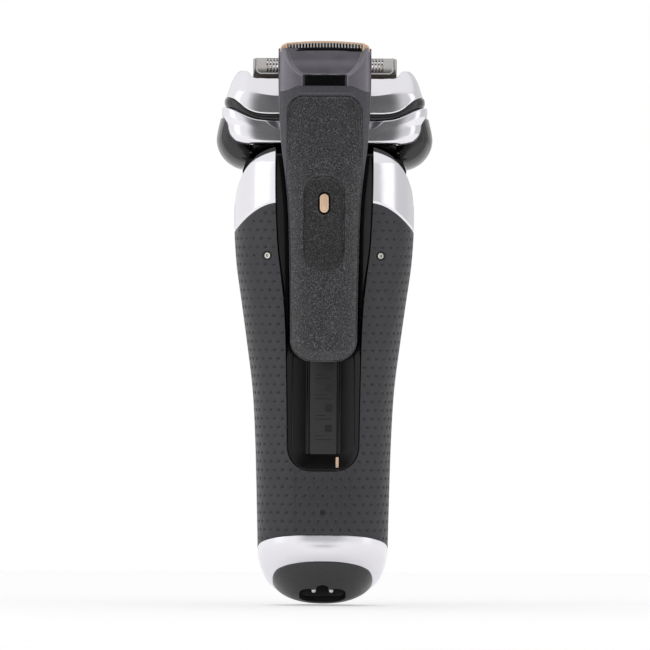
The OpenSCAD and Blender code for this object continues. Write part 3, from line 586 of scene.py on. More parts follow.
CHANNEL_GROW = 0.6
CHANNEL_WALL = 0.8
CHANNEL_FOOT_Z = TRIMMER_FOOT_Z - TRIMMER_TRAVEL
channel_hole = inside_outline(trimmer_outline(CHANNEL_GROW + 0.25, 120, CHANNEL_FOOT_Z))


def behind_channel(x, y, z):
    """Where the trimmer's channel opens the back of the handle."""
    return (y < 0) & channel_hole(x, z)


def to_contact(x, z):
    """Distance to the nearer of the two station contacts."""
    return np.hypot(np.abs(x) - CONTACT_X, z - CONTACT_Z)


def grip_relief(across, x, z):
    """Depth of the grip's dimples and of the smooth panel at its foot."""
    smooth_r = 2.4
    line = np.round((z - VENT_Z) / GRIP_ROW)
    shift = np.where(line % 2 == 0, 0, GRIP_PITCH / 2)
    column = np.round((across - shift) / GRIP_PITCH)
    distance = np.hypot(across - shift - column * GRIP_PITCH, z - VENT_Z - line * GRIP_ROW)
    depth = DIMPLE_DEPTH * (1 - smooth_step(distance, 0.1, DIMPLE_R))
    tab = (np.abs(z - CONTACT_Z) < smooth_r) & (np.abs(x) < CONTACT_X)
    near_vent = np.hypot(x, z - VENT_Z) < 1
    top_margin = z > grip_edge(x) - 1.6
    depth = np.where((to_contact(x, z) < smooth_r) | tab | near_vent | top_margin, 0, depth)
    panel = (1 - smooth_step(np.abs(x), 8.2, 8.9)) * (1 - smooth_step(z, 39, 44))
    return depth + 0.22 * panel


def add_grip():
    """Rubber skin on the back and sides, cut out for the trimmer channel, with staggered dimples."""
    seam = math.radians(SEAM_TURN)
    reach = 46.2
    dimple_rows = 42
    cell_columns = np.array([-0.7, -0.45, -0.17, 0.17, 0.45])
    cell_rows = np.array([-1.3, -0.8, -0.48, -0.2, 0, 0.2, 0.48, 0.8])
    half_pitch = GRIP_PITCH / 2
    cells = math.ceil(reach / half_pitch)
    across = (np.arange(-cells, cells + 1)[:, None] * half_pitch + cell_columns).reshape(-1)
    lowest = VENT_Z - 5 * GRIP_ROW
    heights = (lowest + np.arange(dimple_rows)[:, None] * GRIP_ROW + cell_rows).reshape(-1)
    dense = np.linspace(math.pi - seam, 2 * math.pi + seam, 721)
    rows = []
    for z in heights:
        x, y = handle_point(dense, z)
        length = np.concatenate([[0], np.cumsum(np.hypot(np.diff(x), np.diff(y)))])
        length -= length[-1] / 2
        s = np.clip(across, length[0], length[-1])
        x, y = np.interp(s, length, x), np.interp(s, length, y)
        floor = foot_edge(y) + 0.1
        new_z = np.clip(z, floor, grip_edge(x))
        width, back, front = handle_size(new_z)
        old_width, old_back, old_front = handle_size(z)
        x = x * width / old_width
        y = y * np.where(y < 0, back / old_back, front / old_front)
        edge = smooth_step(np.minimum(grip_edge(x) - new_z, new_z - floor), 0, 0.5)
        depth = grip_relief(s, x, new_z) + 0.3 * (1 - edge)
        scale = 1 - depth / np.hypot(x, y)
        rows.append(row(x * scale, y * scale, new_z))

    def hidden_at(x, y, z):
        vent = np.hypot(x, z - VENT_Z) < 0.85
        return (y < 0) & (channel_hole(x, z) | (to_contact(x, z) < 1.45) | vent)

    skin = with_rim(trim(lattice(rows), hidden_at), handle_inward)
    piece("grip", skin, "grip_rubber", "root", ["rear_grip"], sharp=60)


BEVEL_Z = 134.6


def skin_patch(from_angle, to_angle, columns, rows, low, high):
    """Smooth skin of the handle from low(x, y) to high(x), with softly rounded edges and a top bevel."""
    rounding = 0.3
    angles = np.linspace(from_angle, to_angle, columns)
    shares = np.concatenate([[0, 0.004, 0.012], np.linspace(0.03, 0.97, rows), [0.988, 0.996, 1]])
    bottom = low(*handle_point(angles, 20.0))
    top = high(handle_point(angles, 124.0)[0])
    grid = []
    for share in shares:
        z = bottom + (top - bottom) * share
        lift = np.minimum(z - bottom, top - z)
        inset = rounding * (1 - smooth_step(lift, 0, 2 * rounding)) + 0.3 * np.maximum(0, z - BEVEL_Z)
        x, y = handle_point(angles, z)
        scale = 1 - inset / np.hypot(x, y)
        grid.append(row(x * scale, y * scale, z))
    return lattice(grid)


def shoulder_arch(x):
    return arch(x, SHOULDER_FOOT_Z, SHOULDER_RISE)


def add_shoulders():
    """Silver shoulders between the grip's upper edge and the arch under the head."""
    skin = skin_patch(
        math.radians(180 - SEAM_TURN), math.radians(360 + SEAM_TURN), 260, 60,
        lambda x, y: grip_edge(x * HANDLE_HALF / HANDLE_FOOT_HALF) + 0.12, shoulder_arch,
    )
    skin = with_rim(trim(skin, behind_channel), lambda p: handle_inward(p, 1.6))
    piece("shoulders", skin, "satin_silver", "root", ["shoulder_cover"])


POWER_Z = 76
POWER_R = 8.7
DISPLAY_Z = 46
LOCK_Z = 118


def add_front():
    """Gloss front cover with openings for the power button, the display and the head lock."""
    skin = skin_patch(
        math.radians(SEAM_TURN + 0.6), math.radians(180 - SEAM_TURN - 0.6), 200, 190,
        lambda x, y: foot_edge(y) + 0.1, lambda x: arch(x, 121, 9.6),
    )
    display = inside_outline(rounded_outline(14, 24, 3, 0, DISPLAY_Z))
    lock = inside_outline(rounded_outline(3.8, 8, 1.8, 0, LOCK_Z))

    def hidden_at(x, y, z):
        return (np.hypot(x, z - POWER_Z) < POWER_R) | display(x, z) | lock(x, z)

    skin = with_rim(trim(skin, hidden_at), handle_inward)
    piece("front_skin", skin, "front_plastic", "root", ["front_cover"])


def add_neck_rim():
    """Thin black rim that stands out above the arch of the shoulders."""
    angles = np.linspace(math.radians(176), math.radians(364), 240)
    top = shoulder_arch(handle_point(angles, 124.0)[0])
    profile = [(-3, 1.75), (-1.2, 1.6), (0.35, 0.5), (0.62, 0.62), (0.66, 0.85), (0.5, 1.35), (-3, 2.4)]
    rows = []
    for lift, inset in profile:
        rows.append(row(*handle_point(angles, top + lift, inset), top + lift))
    rim = trim(lattice(rows, closed=True), behind_channel)
    piece("neck_rim", rim, "front_plastic", "root", sharp=45)


# ---------- foot ----------

RIM_Z = 8.3
RIM_SLOPE = 0.4
RING_TOP_Z = 17.2
FOOT_N = 2.25
DOME_H = 6.3
DOME_SIZE = (15.4, 13.1, 12.1)

# Height on the long axis, half width, back depth, front depth and slope of the foot ring
ring_size = smooth_curve([
    (8.3, 15.5, 13.2, 12.2, 0.4),
    (9.4, 17.0, 14.4, 13.2, 0.388),
    (10.2, 17.8, 14.95, 13.4, 0.375),
    (11.2, 18.5, 15.2, 13.6, 0.36),
    (13.8, 19.4, 15.35, 13.6, 0.325),
    (17.2, 19.75, 15.4, 13.6, 0.285),
])


def ring_loop(z, inset=0.0, drop=0.0):
    """Sloped loop of the foot's ring, by its height on the long axis."""
    width, back, front, slope = ring_size(z)
    angles = np.linspace(0, 2 * math.pi, 180, endpoint=False)
    roundness = FOOT_N + (HANDLE_N - FOOT_N) * smooth_step(z, RIM_Z, 15)
    x, y = section(angles, width - inset, back - inset, front - inset, roundness)
    return row(x, y, z - drop - slope * y)


def hung(loop, share):
    """Lets a loop of the ring hang lower towards the front, where it wraps round the cap."""
    loop[:, 2] -= 1.3 * share * smooth_step(loop[:, 1], -7, 1)
    return loop


def add_ring():
    """Silver ring with rounded edges: an upright band above a bevel that leads to the cap."""
    rows = [hung(ring_loop(z), 1 - smooth_step(z, RIM_Z, 12)) for z in np.linspace(RIM_Z, 17.0, 32)]
    rows += [ring_loop(RING_TOP_Z, inset, drop) for inset, drop in ((0.02, 0.08), (0.1, 0.02), (0.3, 0))]
    rows += [ring_loop(z, inset) for z, inset in ((RING_TOP_Z, 1.6), (13.8, 1.6), (11.2, 1.6), (8.6, 1.4))]
    rows += [hung(ring_loop(RIM_Z, inset, drop), 1) for inset, drop in ((0.45, -0.05), (0.12, 0.04))]
    piece("ring", lattice(rows, wrap=True, closed=True), "satin_silver", "root", ["base_ring"])


SOCKET_PLACE = np.array([0, -1.2, 2.7])
SOCKET_TILT = math.radians(25)
SOCKET_AXES = np.array([
    (1, 0, 0),
    (0, math.cos(SOCKET_TILT), math.sin(SOCKET_TILT)),
    (0, -math.sin(SOCKET_TILT), math.cos(SOCKET_TILT)),
])
SOCKET_W = 14.2
SOCKET_D = 10
KEY_R = 1.9
KEY_REACH = 5.4
PIN_X = 2.65
PIN_Y = -3.2


def in_socket(points):
    """Points of the frame in the socket's own axes, its mouth at height 0 facing down and back."""
    return (np.asarray(points, float) - SOCKET_PLACE) @ SOCKET_AXES


def from_socket(points):
    """Points in the socket's own axes put back into the frame."""
    return np.asarray(points, float) @ SOCKET_AXES.T + SOCKET_PLACE


def dome_point(angle, lift, inset=0.0):
    """Points of the domed cap under the ring, from its rim at lift 0 to its tip at a right angle."""
    width, back, front = (v - inset for v in DOME_SIZE)
    x, y = section(angle, width, back, front, FOOT_N)
    x, y = x * np.cos(lift), y * np.cos(lift)
    return row(x, y, RIM_Z - RIM_SLOPE * y - (DOME_H - inset) * np.sin(lift))


def socket_outline(grow):
    """Anticlockwise outline of the socket in its own axes: a rounded rectangle with a key's round slot."""
    outline = rounded_outline(SOCKET_W + 2 * grow, SOCKET_D + 2 * grow, 3.4 + grow)
    middle = len(outline) * 3 // 4
    radius = KEY_R + grow
    edge = -SOCKET_D / 2 - grow
    start = math.asin(min(1, max(0, (KEY_REACH + edge) / -radius)))
    arc = [
        (radius * math.cos(t), -KEY_REACH + radius * math.sin(t))
        for t in np.linspace(math.pi + start, 2 * math.pi - start, 15)
    ]
    first, last = (-radius, edge), (radius, edge)
    if edge < -KEY_REACH:
        first, last = arc[0], arc[-1]
    return outline[:middle] + [first] + arc + [last] + outline[middle:]


def add_end_cap():
    """Domed cap, opened by the socket's mouth."""
    angles = np.linspace(0, 2 * math.pi, 240, endpoint=False)
    rows = [dome_point(angles, 0.0, inset) for inset in (1.2, 0.3, 0.08)]
    rows += [dome_point(angles, lift) for lift in np.linspace(0.03, math.radians(89.5), 80)]
    mouth = inside_outline(socket_outline(0))

    def hidden_at(*place):
        across, along, height = in_socket(np.transpose(place)).T
        return mouth(across, along) & (height < 4)

    def inward(p):
        q = in_socket(p)
        q[:, 2] = np.where(np.hypot(p[:, 0], p[:, 1]) < 11, np.maximum(q[:, 2] + 0.6, 2.2), q[:, 2])
        return from_socket(q)

    cap = with_rim(trim(lattice(rows, wrap=True), hidden_at), inward)
    piece("foot_cap", cap, "cap_plastic", "root", ["end_cap"])


def add_socket():
    """Charging socket in the foot with its key and two round-tipped pins."""
    loop = np.array(socket_outline(0))
    rings = [(socket_outline(grow), height) for grow, height in ((1.0, 2.35), (1.0, 10.9), (0.4, 11.3))]
    rings += [(loop * 0.1, 11.3), (loop * 0.1, 10.0), (loop, 9.9), (loop, 2.6)]
    rings += [(socket_outline(0.15), 2.38), (socket_outline(1.0), 2.35)]
    rows = [from_socket(row(*np.transpose(outline), height)) for outline, height in rings]
    piece("socket", lattice(rows, wrap=True), "case_plastic", "root", ["socket_housing"], sharp=45)
    profile = [(0.04, -0.18), (0.35, -0.1), (0.6, 0.12), (0.73, 0.5), (0.75, 9.95), (0.04, 9.95)]
    turn = np.linspace(0, 2 * math.pi, 28, endpoint=False)
    pins = []
    for x in (-PIN_X, PIN_X):
        rows = [from_socket(row(x + r * np.cos(turn), PIN_Y + r * np.sin(turn), d)) for r, d in profile]
        pins.append(lattice(rows, wrap=True, ends=True))
    piece("pins", joined(*pins), "nickel", "root", ["socket_pins"], sharp=45)


# ---------- trimmer and its channel ----------

TRIMMER_BACK_Y = -15.5
TRIMMER_WALL_Y = -18.3
TRIMMER_FACE_Y = -20.9
NOSE_Z = 156.8
TRIMMER_END_Z = 168.6
BUTTON_Z = TRIMMER_FOOT_Z + 48
SCOOP_TOP_Z = 154.6
THUMB_Z = (101.5, 130.6)
THUMB_HALF = 6.4
INSERT_HALF = 11.5
INSERT_CORNER = 4.6


def outline_depth(x, z, outline_half, top, corner):
    """Distance inside a shape that is open at its foot: half width outline_half, round upper corners."""
    side = outline_half - np.abs(x)
    cap = top - z
    both = (side < corner) & (cap < corner)
    round_corner = corner - np.hypot(corner - side, corner - cap)
    return np.where(both, round_corner, np.minimum(side, cap))


def bar_half(z):
    """Half width of the trimmer at a height, with its round lower corners taken off."""
    low = np.maximum(0, z - TRIMMER_FOOT_Z)
    corner = np.sqrt(np.maximum(0, CORNER_R**2 - np.maximum(0, CORNER_R - low) ** 2))
    return trimmer_half(low)[0] - CORNER_R + corner


def crown(share):
    """How far the trimmer's crowned back stands out, at a share of its half width."""
    return (TRIMMER_WALL_Y - TRIMMER_FACE_Y) * (1 - np.clip(share, 0, 1) ** 2.7) ** (1 / 2.2)


def trimmer_surface(x, z):
    """y of the trimmer's grained back: a crowned bar with a scoop at its top and a thumb rest."""
    foot = smooth_step(z - TRIMMER_FOOT_Z, -0.4, 3.2)
    out = crown(np.abs(x) / np.maximum(bar_half(z), 0.01)) * (0.35 + 0.65 * foot)
    scoop = outline_depth(x, z, 11.3, SCOOP_TOP_Z, INSERT_CORNER)
    thumb = outline_depth(x, z, THUMB_HALF, THUMB_Z[1], 5.2)
    sunk = 1.5 * smooth_step(scoop, 0, 0.9) * smooth_step(z, 132, 153)
    sunk = sunk + 1.2 * smooth_step(thumb, 0, 0.5) * smooth_step(z, THUMB_Z[0] - 3, THUMB_Z[0] + 9)
    return TRIMMER_WALL_Y - out + sunk


def trimmer_bar(heights, surface, columns):
    """Closed bar over the trimmer's outline between two heights, with its back shaped by surface(x, z)."""
    edge, edge_y = 0.35, TRIMMER_BACK_Y - 0.6
    even = np.linspace(-1, 1, columns)
    shares = 0.35 * np.sin(even * math.pi / 2) + 0.65 * even
    rows = []
    for z in heights:
        half = bar_half(z)
        x = shares * half
        front_x = (half, half - edge, edge - half, -half)
        front_y = (edge_y, TRIMMER_BACK_Y, TRIMMER_BACK_Y, edge_y)
        rows.append(row(np.append(x, front_x), np.append(surface(x, z), front_y), z))
    return lattice(rows, wrap=True, ends=True)


def nose_foot(x):
    """Height of the parting line between the grained body and the nose."""
    return NOSE_Z + 0.95 - 1.8 * smooth_step(np.abs(x), 7.4, 13.4)


def add_trimmer_body():
    """Trimmer's satin body with the grained insert in it, and the smoother thumb rest in that."""
    steps = [0, 0.05, 0.15, 0.35, 0.6, 0.9, 1.3, 1.8, 2.4, 3.0, 3.7, 4.4, 5.1, 5.8, 6.5]
    heights = np.concatenate([
        TRIMMER_FOOT_Z + np.array(steps),
        np.arange(81.3, NOSE_Z - 0.4, 0.45),
        [NOSE_Z - 0.15, NOSE_Z - 0.03],
    ])
    points, faces = trimmer_bar(heights, trimmer_surface, 110)
    share = smooth_step(points[:, 2], 148, NOSE_Z)
    points[:, 2] += share * (nose_foot(points[:, 0]) - NOSE_Z)
    bar = points, faces
    hole = inside_outline(rounded_outline(3.75, 6.9, 1.85, 0, BUTTON_Z, 6))
    rest_width, rest_height = 2 * THUMB_HALF - 0.5, THUMB_Z[1] - THUMB_Z[0] - 0.5
    rest = inside_outline(rounded_outline(rest_width, rest_height, 5, 0, sum(THUMB_Z) / 2, 12))

    def in_insert(x, y, z, gap=0.1):
        inside = inside_outline(trimmer_outline(-0.3 - gap, 90))(x, z) & (y < -17.4)
        return inside & (outline_depth(x, z, INSERT_HALF - gap, SCOOP_TOP_Z - gap, INSERT_CORNER) > 0)

    def in_rest(x, y, z):
        return rest(x, z) & in_insert(x, y, z)

    def add_part(name, hidden_at, nodes, look):
        shape = with_rim(trim(bar, hidden_at), lambda p: row(p[:, 0], -17.3, p[:, 2]))
        piece(name, shape, "trimmer_plastic", "trimmer", nodes, sharp=60, look=look)

    def outside_insert(*place):
        return ~in_insert(*place) | in_rest(*place)

    add_part("trimmer_bar", lambda *place: in_insert(*place, gap=0), ["trimmer_body"], "trimmer_satin")
    add_part("trimmer_insert", outside_insert, ["grip_insert"], "trimmer_plastic")
    add_part("thumb_rest", lambda x, y, z: ~in_rest(x, y, z) | hole(x, z), [], "thumb_rest")


# Height and half width of the nose's front panel, which narrows towards the window
PANEL_Z = [160.6, 161.3, 162.4, 163.6, 165.2, 166.8, 168.7]
PANEL_HALF = [6.1, 6.7, 8.0, 9.2, 10.2, 10.9, 11.3]
WINDOW_HALF = 7.05

# Distance from the middle and height of the nose's upper edge
nose_top = smooth_curve([
    (0, 168.5),
    (6, 168.4),
    (10, 168.15),
    (11.2, 168.15),
    (11.9, 168.9),
    (12.4, 169.15),
    (13.75, 169.1),
])


def nose_surface(x, z):
    """y of the nose: sides that lean outwards, a flat panel between ridges and the window's recess."""
    surface = TRIMMER_WALL_Y - crown(np.abs(x) / TRIMMER_HALF)
    inside = np.interp(z, PANEL_Z, PANEL_HALF) - np.abs(x)
    flat = TRIMMER_FACE_Y + 0.55 + 0.16 * np.abs(z - 161.2) * smooth_step(z, 161, 166)
    panel = smooth_step(inside, -0.5, 0.2) * smooth_step(z, 160.9, 161.5)
    surface = surface + (flat - surface) * panel
    ridge = np.exp(-((inside + 0.75) / 0.36) ** 2) * smooth_step(z, 160.6, 161.8)
    window = smooth_step(WINDOW_HALF - np.abs(x), 0, 1.25) * (1 - smooth_step(z, 160.9, 161.25))
    return surface - 0.3 * ridge + 1.75 * window * smooth_step(z, 157.4, 158.0)


def add_nose():
    """Metallic nose above the grained body, with the dark window in it."""
    heights = np.concatenate([[NOSE_Z + 0.02], np.linspace(NOSE_Z + 0.15, TRIMMER_END_Z, 72)])
    points, faces = trimmer_bar(heights, lambda x, z: 0 * x, 170)
    back = points[:, 1] > -1
    x, share = points[:, 0], (points[:, 2] - NOSE_Z) / (TRIMMER_END_Z - NOSE_Z)
    foot = nose_foot(x)
    points[:, 2] = foot + share * (nose_top(np.abs(x))[0] - foot)
    points[back, 1] = nose_surface(x[back], points[back, 2])
    piece("nose", (points, faces), "nose_plastic", "trimmer", ["trimmer_nose"], sharp=50)
    window = [(-6.0, 157.2), (6.0, 157.2), (6.25, 161.15), (-6.25, 161.15)]
    pane = plate(window, TRIMMER_FACE_Y + 1.55, -18.6, 0.1)
    piece("nose_window", pane, "gloss_black", "trimmer", ["trimmer_window"])


TEETH = 24
TOOTH_PITCH = 0.94
COMB_HALF = 11.3


def comb_arc(x, top, drop):
    """Height of the comb's arched edge."""
    return top - drop * (x / COMB_HALF) ** 2


def tooth_places(count):
    """Places across the trimmer of that many teeth, one pitch apart."""
    return [(k - (count - 1) / 2) * TOOTH_PITCH for k in range(count)]


def add_comb():
    """Comb of the trimmer: pale teeth below a thin gold strip, between two rounded gold shoulders."""
    half = 13.35
    strip_height = 0.62
    side = [(half, 168.0), (half, 169.4), (half - 0.25, 170.1), (half - 0.9, 170.5), (half - 2, 170.7)]
    edge = [(x, comb_arc(x, 170.95, 0.5)) for x in np.linspace(9.8, -9.8, 15)]
    strip = [(x, comb_arc(x, 171.45, 0.62)) for x in np.linspace(11.9, -11.9, 25)]
    strip = [(x, z - strip_height) for x, z in reversed(strip)] + strip
    lobe = [(11.3, 168.2), (13.5, 168.0), (13.55, 169.2), (13.3, 169.85), (12.75, 170.3), (12.0, 170.6)]
    lobe.append((11.5, 170.7))
    shapes = [
        plate(side + edge + mirrored(side), -17.0, -16.6, 0.1, 1),
        plate(strip, -18.15, -16.65, 0.12, 2),
        plate(lobe, -19.2, -16.7, 0.35, 4),
        plate(mirrored(lobe), -19.2, -16.7, 0.35, 4),
    ]
    piece("comb", joined(*shapes), "gold_metal", "trimmer", ["trimmer_comb"])
    teeth = []
    for x in tooth_places(TEETH):
        top = comb_arc(x, 170.95, 0.6)
        tooth = [(x - 0.2, 169.3), (x + 0.2, 169.3), (x + 0.23, top), (x - 0.23, top)]
        teeth.append(plate(tooth, -18.6, -18.0, 0.07, 2))
    piece("comb_teeth", joined(*teeth), "nickel", "trimmer")


def add_blade():
    """Black moving blade behind the comb's teeth, with teeth of its own, and its black carrier."""
    root_z = 169.6
    outline = [(-10.9, 167.0), (10.9, 167.0), (10.9, root_z)]
    for x in reversed(tooth_places(TEETH - 1)):
        top = comb_arc(x, 170.9, 0.6)
        outline += [(x + 0.33, root_z), (x + 0.3, top), (x - 0.3, top), (x - 0.33, root_z)]
    outline.append((-10.9, root_z))
    piece("blade_teeth", plate(outline, -17.9, -17.1, 0.05, 1), "gloss_black", "blade", ["trimmer_blade"])
    guard = [(-9.9, 167.2), (9.9, 167.2), (9.9, 169.1)]
    guard += [(x, comb_arc(x, 169.5, 0.4)) for x in np.linspace(9.6, -9.6, 9)]
    guard.append((-9.9, 169.1))
    piece("blade_guard", plate(guard, -18.95, -18.0, 0.2, 2), "gloss_black", "blade", ["blade_carrier"])


def add_trimmer_button():
    """Gold pill with a dished middle, in a black well."""
    outer = np.array(rounded_outline(3.7, 6.8, 1.8, 0, BUTTON_Z, 10))
    inner = np.array(rounded_outline(3.0, 6.0, 1.48, 0, BUTTON_Z, 10))
    face_y = TRIMMER_FACE_Y + 1.3
    rings = [
        (outer, -17.4),
        (outer, face_y),
        (inset_outline(outer, 0.12), face_y - 0.12),
        (inner, face_y - 0.1),
        (inner, -17.9),
        ((inner + np.array([0, BUTTON_Z])) / 2, -17.95),
    ]
    well = lattice([at_depth(outline, y) for outline, y in rings], wrap=True, ends=True)
    piece("button_well", well, "gloss_black", "trimmer", ["button_surround"])
    body = plate(rounded_outline(2.8, 5.8, 1.38, 0, BUTTON_Z, 12), TRIMMER_FACE_Y + 1.0, -18.85, 0.45, 4)
    dish = plate(rounded_outline(1.1, 4.1, 0.54, 0, BUTTON_Z, 8), TRIMMER_FACE_Y + 0.93, -19.5, 0.1, 2)
    piece("lock_pill", joined(body, dish), "gold_metal", "trimmer_lock", ["trimmer_lock_button"])


CHANNEL_LENGTH = 95.6
CHANNEL_FLOOR_Y = -15.1


def add_channel():
    """Gloss black trough with a rounded foot, upright walls and the rails that guide the trimmer."""
    outer, inner, floor_edge = (
        np.array(trimmer_outline(grow, CHANNEL_LENGTH, CHANNEL_FOOT_Z, 80))
        for grow in (CHANNEL_GROW + CHANNEL_WALL, CHANNEL_GROW, CHANNEL_GROW - 0.5)
    )
    floor_y = CHANNEL_FLOOR_Y
    x, z = outer.T
    bevel = 0.26 * np.maximum(0, z - BEVEL_Z)
    top = np.minimum(bevel - handle_size(z)[1] * depth_share(x, z), floor_y - 0.6)
    rings = [
        (outer, floor_y + 1.4),
        (outer, np.minimum(top + 1.8, floor_y + 1.2)),
        (inset_outline(outer, 0.6), np.minimum(top + 1.5, floor_y + 1.0)),
        (inset_outline(outer, 0.62), top + 0.3),
        (inner, top + 0.22),
        (inset_outline(inner, 0.08), top + 0.4),
        (inner, floor_y - 0.5),
        (inset_outline(inner, 0.15), floor_y - 0.15),
        (floor_edge, floor_y),
    ]
    shapes = [lattice([at_depth(outline, y) for outline, y in rings], wrap=True, ends=True)]
    for side in (-1, 1):
        rail = rounded_outline(1.15, 66, 0.5, side * 4.85, 79)
        line = rounded_outline(0.5, 63, 0.2, side * 9.3, 80)
        shapes.append(plate(rail, floor_y - 0.33, floor_y + 0.1, 0.32, 5))
        shapes.append(plate(line, floor_y - 0.18, floor_y + 0.1, 0.16, 3))
    piece("channel", joined(*shapes), "gloss_black", "root", ["trimmer_channel"])


def add_label():
    """Plain label plate with engraved frames and bars instead of print, and a gold mark below it."""
    y = -15.14
    parts = [plate(rounded_outline(8.2, 65.8, 0.5, 0, 79), y, y + 0.4, 0.08, 2)]
    for k in range(5):
        z = 50.5 + k * 6.2
        parts.append(plate(rounded_outline(5.2, 0.28, 0.1, 0, z), y - 0.05, y + 0.1, 0.03, 1))
        parts.append(plate(rounded_outline(3.4, 0.28, 0.1, -0.9, z + 1.1), y - 0.05, y + 0.1, 0.03, 1))
        parts.append(plate(rounded_outline(2.2, 2.2, 0.5, 1.6, z + 3.4), y - 0.05, y + 0.1, 0.04, 1))
    piece("label", joined(*parts), "label", "root", ["label_plate"])
    mark = plate(rounded_outline(0.9, 3.2, 0.2, 4.3, 43.6), -15.2, -15.0, 0.05, 1)
    piece("channel_mark", mark, "gold_metal", "root")


# ---------- head ----------

HEAD_Y = 5
PIVOT_Z = 141
CASSETTE_HALF = 29.9
CASSETTE_DEPTH = 16
CASSETTE_N = 6
EAR_Z = 162.5
MOUTH_Z = 160.3
MOUTH_HALF = 23.5
MOUTH_DEPTH = 12.0
RIB_PITCH = 0.95

# Height, half width and half depth of the cassette's outside
cassette_size = smooth_curve([
    (147, 30.2, 15.85),
    (154, 30.1, 15.85),
    (155.6, 29.5, 15.75),
    (157.5, 28.9, 14.9),
    (159.6, 28.1, 13.7),
    (161.4, 27.0, 12.7),
    (162.3, 26.2, 12.2),
    (162.6, 25.8, 12.1),
])


def side_curve(rows):
    """Smooth height through rows of (distance from the middle, height), the same on both sides."""
    curve = smooth_curve(rows)
    return lambda x: curve(np.abs(x))[0]


# Parting lines of the head: low in the middle, rising in a soft step towards its ends
cassette_foot = side_curve([
    (0, 149.35), (14, 149.35), (18, 149.4), (20.5, 149.7), (22, 150.15), (23.6, 151), (25.4, 152.5),
    (27.4, 153.8), (29.5, 154.4), (31, 154.5),
])
base_top = side_curve([
    (0, 147.4), (14, 147.4), (18, 147.5), (20, 147.7), (22, 148.2), (24.3, 149.15), (27.4, 150.6),
    (29, 151.15), (31, 151.4),
])
# Upper edge of the cassette's face, rising to the tips of its ears
cassette_edge = side_curve([
    (0, 155.7), (19.2, 155.7), (20.3, 155.95), (22.4, 157.5), (24.5, 160.1), (26.3, 162.0), (27.2, 162.25),
    (31, 162.25),
])


def even_loop(half, depth, n, columns):
    """Closed plan outline of the head with evenly spread points, in x and y about the head's middle."""
    dense = np.linspace(0, 2 * math.pi, 4001)
    x, y = section(dense, half, depth, depth, n)
    length = np.concatenate([[0], np.cumsum(np.hypot(np.diff(x), np.diff(y)))])
    at = np.linspace(0, length[-1], columns, endpoint=False)
    return np.interp(at, length, x), np.interp(at, length, y)


def head_ring(rows):
    """Closed ring of rows of x, y and z, with y measured from the head's middle."""
    return lattice([row(x, y + HEAD_Y, z) for x, y, z in rows], wrap=True, closed=True)


def add_cassette():
    """Silver cassette: upright face, sloped ribbed top with an ear at each end, and the foils' mouth."""
    columns = 720
    x0, y0 = even_loop(CASSETTE_HALF, CASSETTE_DEPTH, CASSETTE_N, columns)
    foot = cassette_foot(x0)
    edge = cassette_edge(x0)

    def face_row(z, inset=0.0):
        half, depth = cassette_size(z)
        return x0 * (half - inset) / CASSETTE_HALF, y0 * (depth - inset) / CASSETTE_DEPTH, z

    rows = [face_row(foot + lift, inset) for lift, inset in ((0, 0.3), (0.08, 0.1), (0.3, 0))]
    rows += [face_row(foot + 0.3 + (edge - 0.6 - foot) * t) for t in np.linspace(0.04, 1, 26)]
    rows += [face_row(edge - 0.12, 0.03), face_row(edge, 0.14)]

    mouth_x, mouth_y = even_loop(MOUTH_HALF, MOUTH_DEPTH, 14, columns)
    angle = np.unwrap(np.arctan2(y0 / CASSETTE_DEPTH, x0 / CASSETTE_HALF))
    order = np.unwrap(np.arctan2(mouth_y / MOUTH_DEPTH, mouth_x / MOUTH_HALF))
    mouth_x = np.interp(angle, order, mouth_x, period=2 * math.pi)
    mouth_y = np.interp(angle, order, mouth_y, period=2 * math.pi)
    mouth_z = MOUTH_Z + (EAR_Z - MOUTH_Z) * smooth_step(np.abs(mouth_x), 22.1, 23.4)
    edge_x, edge_y, edge_z = rows[-1]
    for t in np.linspace(0.04, 1, 24):
        x, y = edge_x + (mouth_x - edge_x) * t, edge_y + (mouth_y - edge_y) * t
        z = edge_z + (mouth_z - edge_z) * t
        z = z + 1.3 * np.sin(math.pi * t) * smooth_step(np.abs(x), 22.6, 23.8)
        z = np.minimum(z, EAR_Z)
        band = smooth_step(t, 0.22, 0.3) * (1 - smooth_step(t, 0.9, 0.97)) * (np.abs(x0) < 20.3)
        z = z - 0.2 * band * (0.5 + 0.5 * np.cos(2 * math.pi * x / RIB_PITCH))
        rows.append((x, y, z - 0.12 * (t > 0.99)))
    rows.append((mouth_x * 0.995, mouth_y * 0.995, mouth_z - 0.5))
    rows.append((mouth_x * 0.99, mouth_y * 0.99, 156.4))
    for half, depth, z in ((28.3, 14.6, 155.6), (28.5, 14.8, foot + 0.1)):
        rows.append((x0 * half / CASSETTE_HALF, y0 * depth / CASSETTE_DEPTH, z))
    piece("cassette", head_ring(rows), "satin_silver", "cassette", ["cassette_frame"], sharp=40)


BAND_HALF = 30.5
BAND_DEPTH = 15.35


def add_gap_band():
    """Gloss grey band between the cassette and the base, set back a little and gently rounded."""
    x0, y0 = even_loop(BAND_HALF, BAND_DEPTH, CASSETTE_N, 360)
    low, high = base_top(x0) + 0.08, cassette_foot(x0) - 0.08
    rows = []
    for t in np.linspace(0, 1, 11):
        inset = 0.55 * abs(2 * t - 1) ** 3
        rows.append((x0 * (1 - inset / BAND_HALF), y0 * (1 - inset / BAND_DEPTH), low + (high - low) * t))
    rows += [(x0 * 0.955, y0 * 0.93, z) for z in (high, low)]
    piece("band", head_ring(rows), "grey_gloss", "head", ["gap_band"], sharp=50)


POCKET_HALF = 10.15
POCKET_TOP_Z = 148.7
BASE_HALF = 30.4
BASE_DEPTH = 16
BASE_N = 6.5

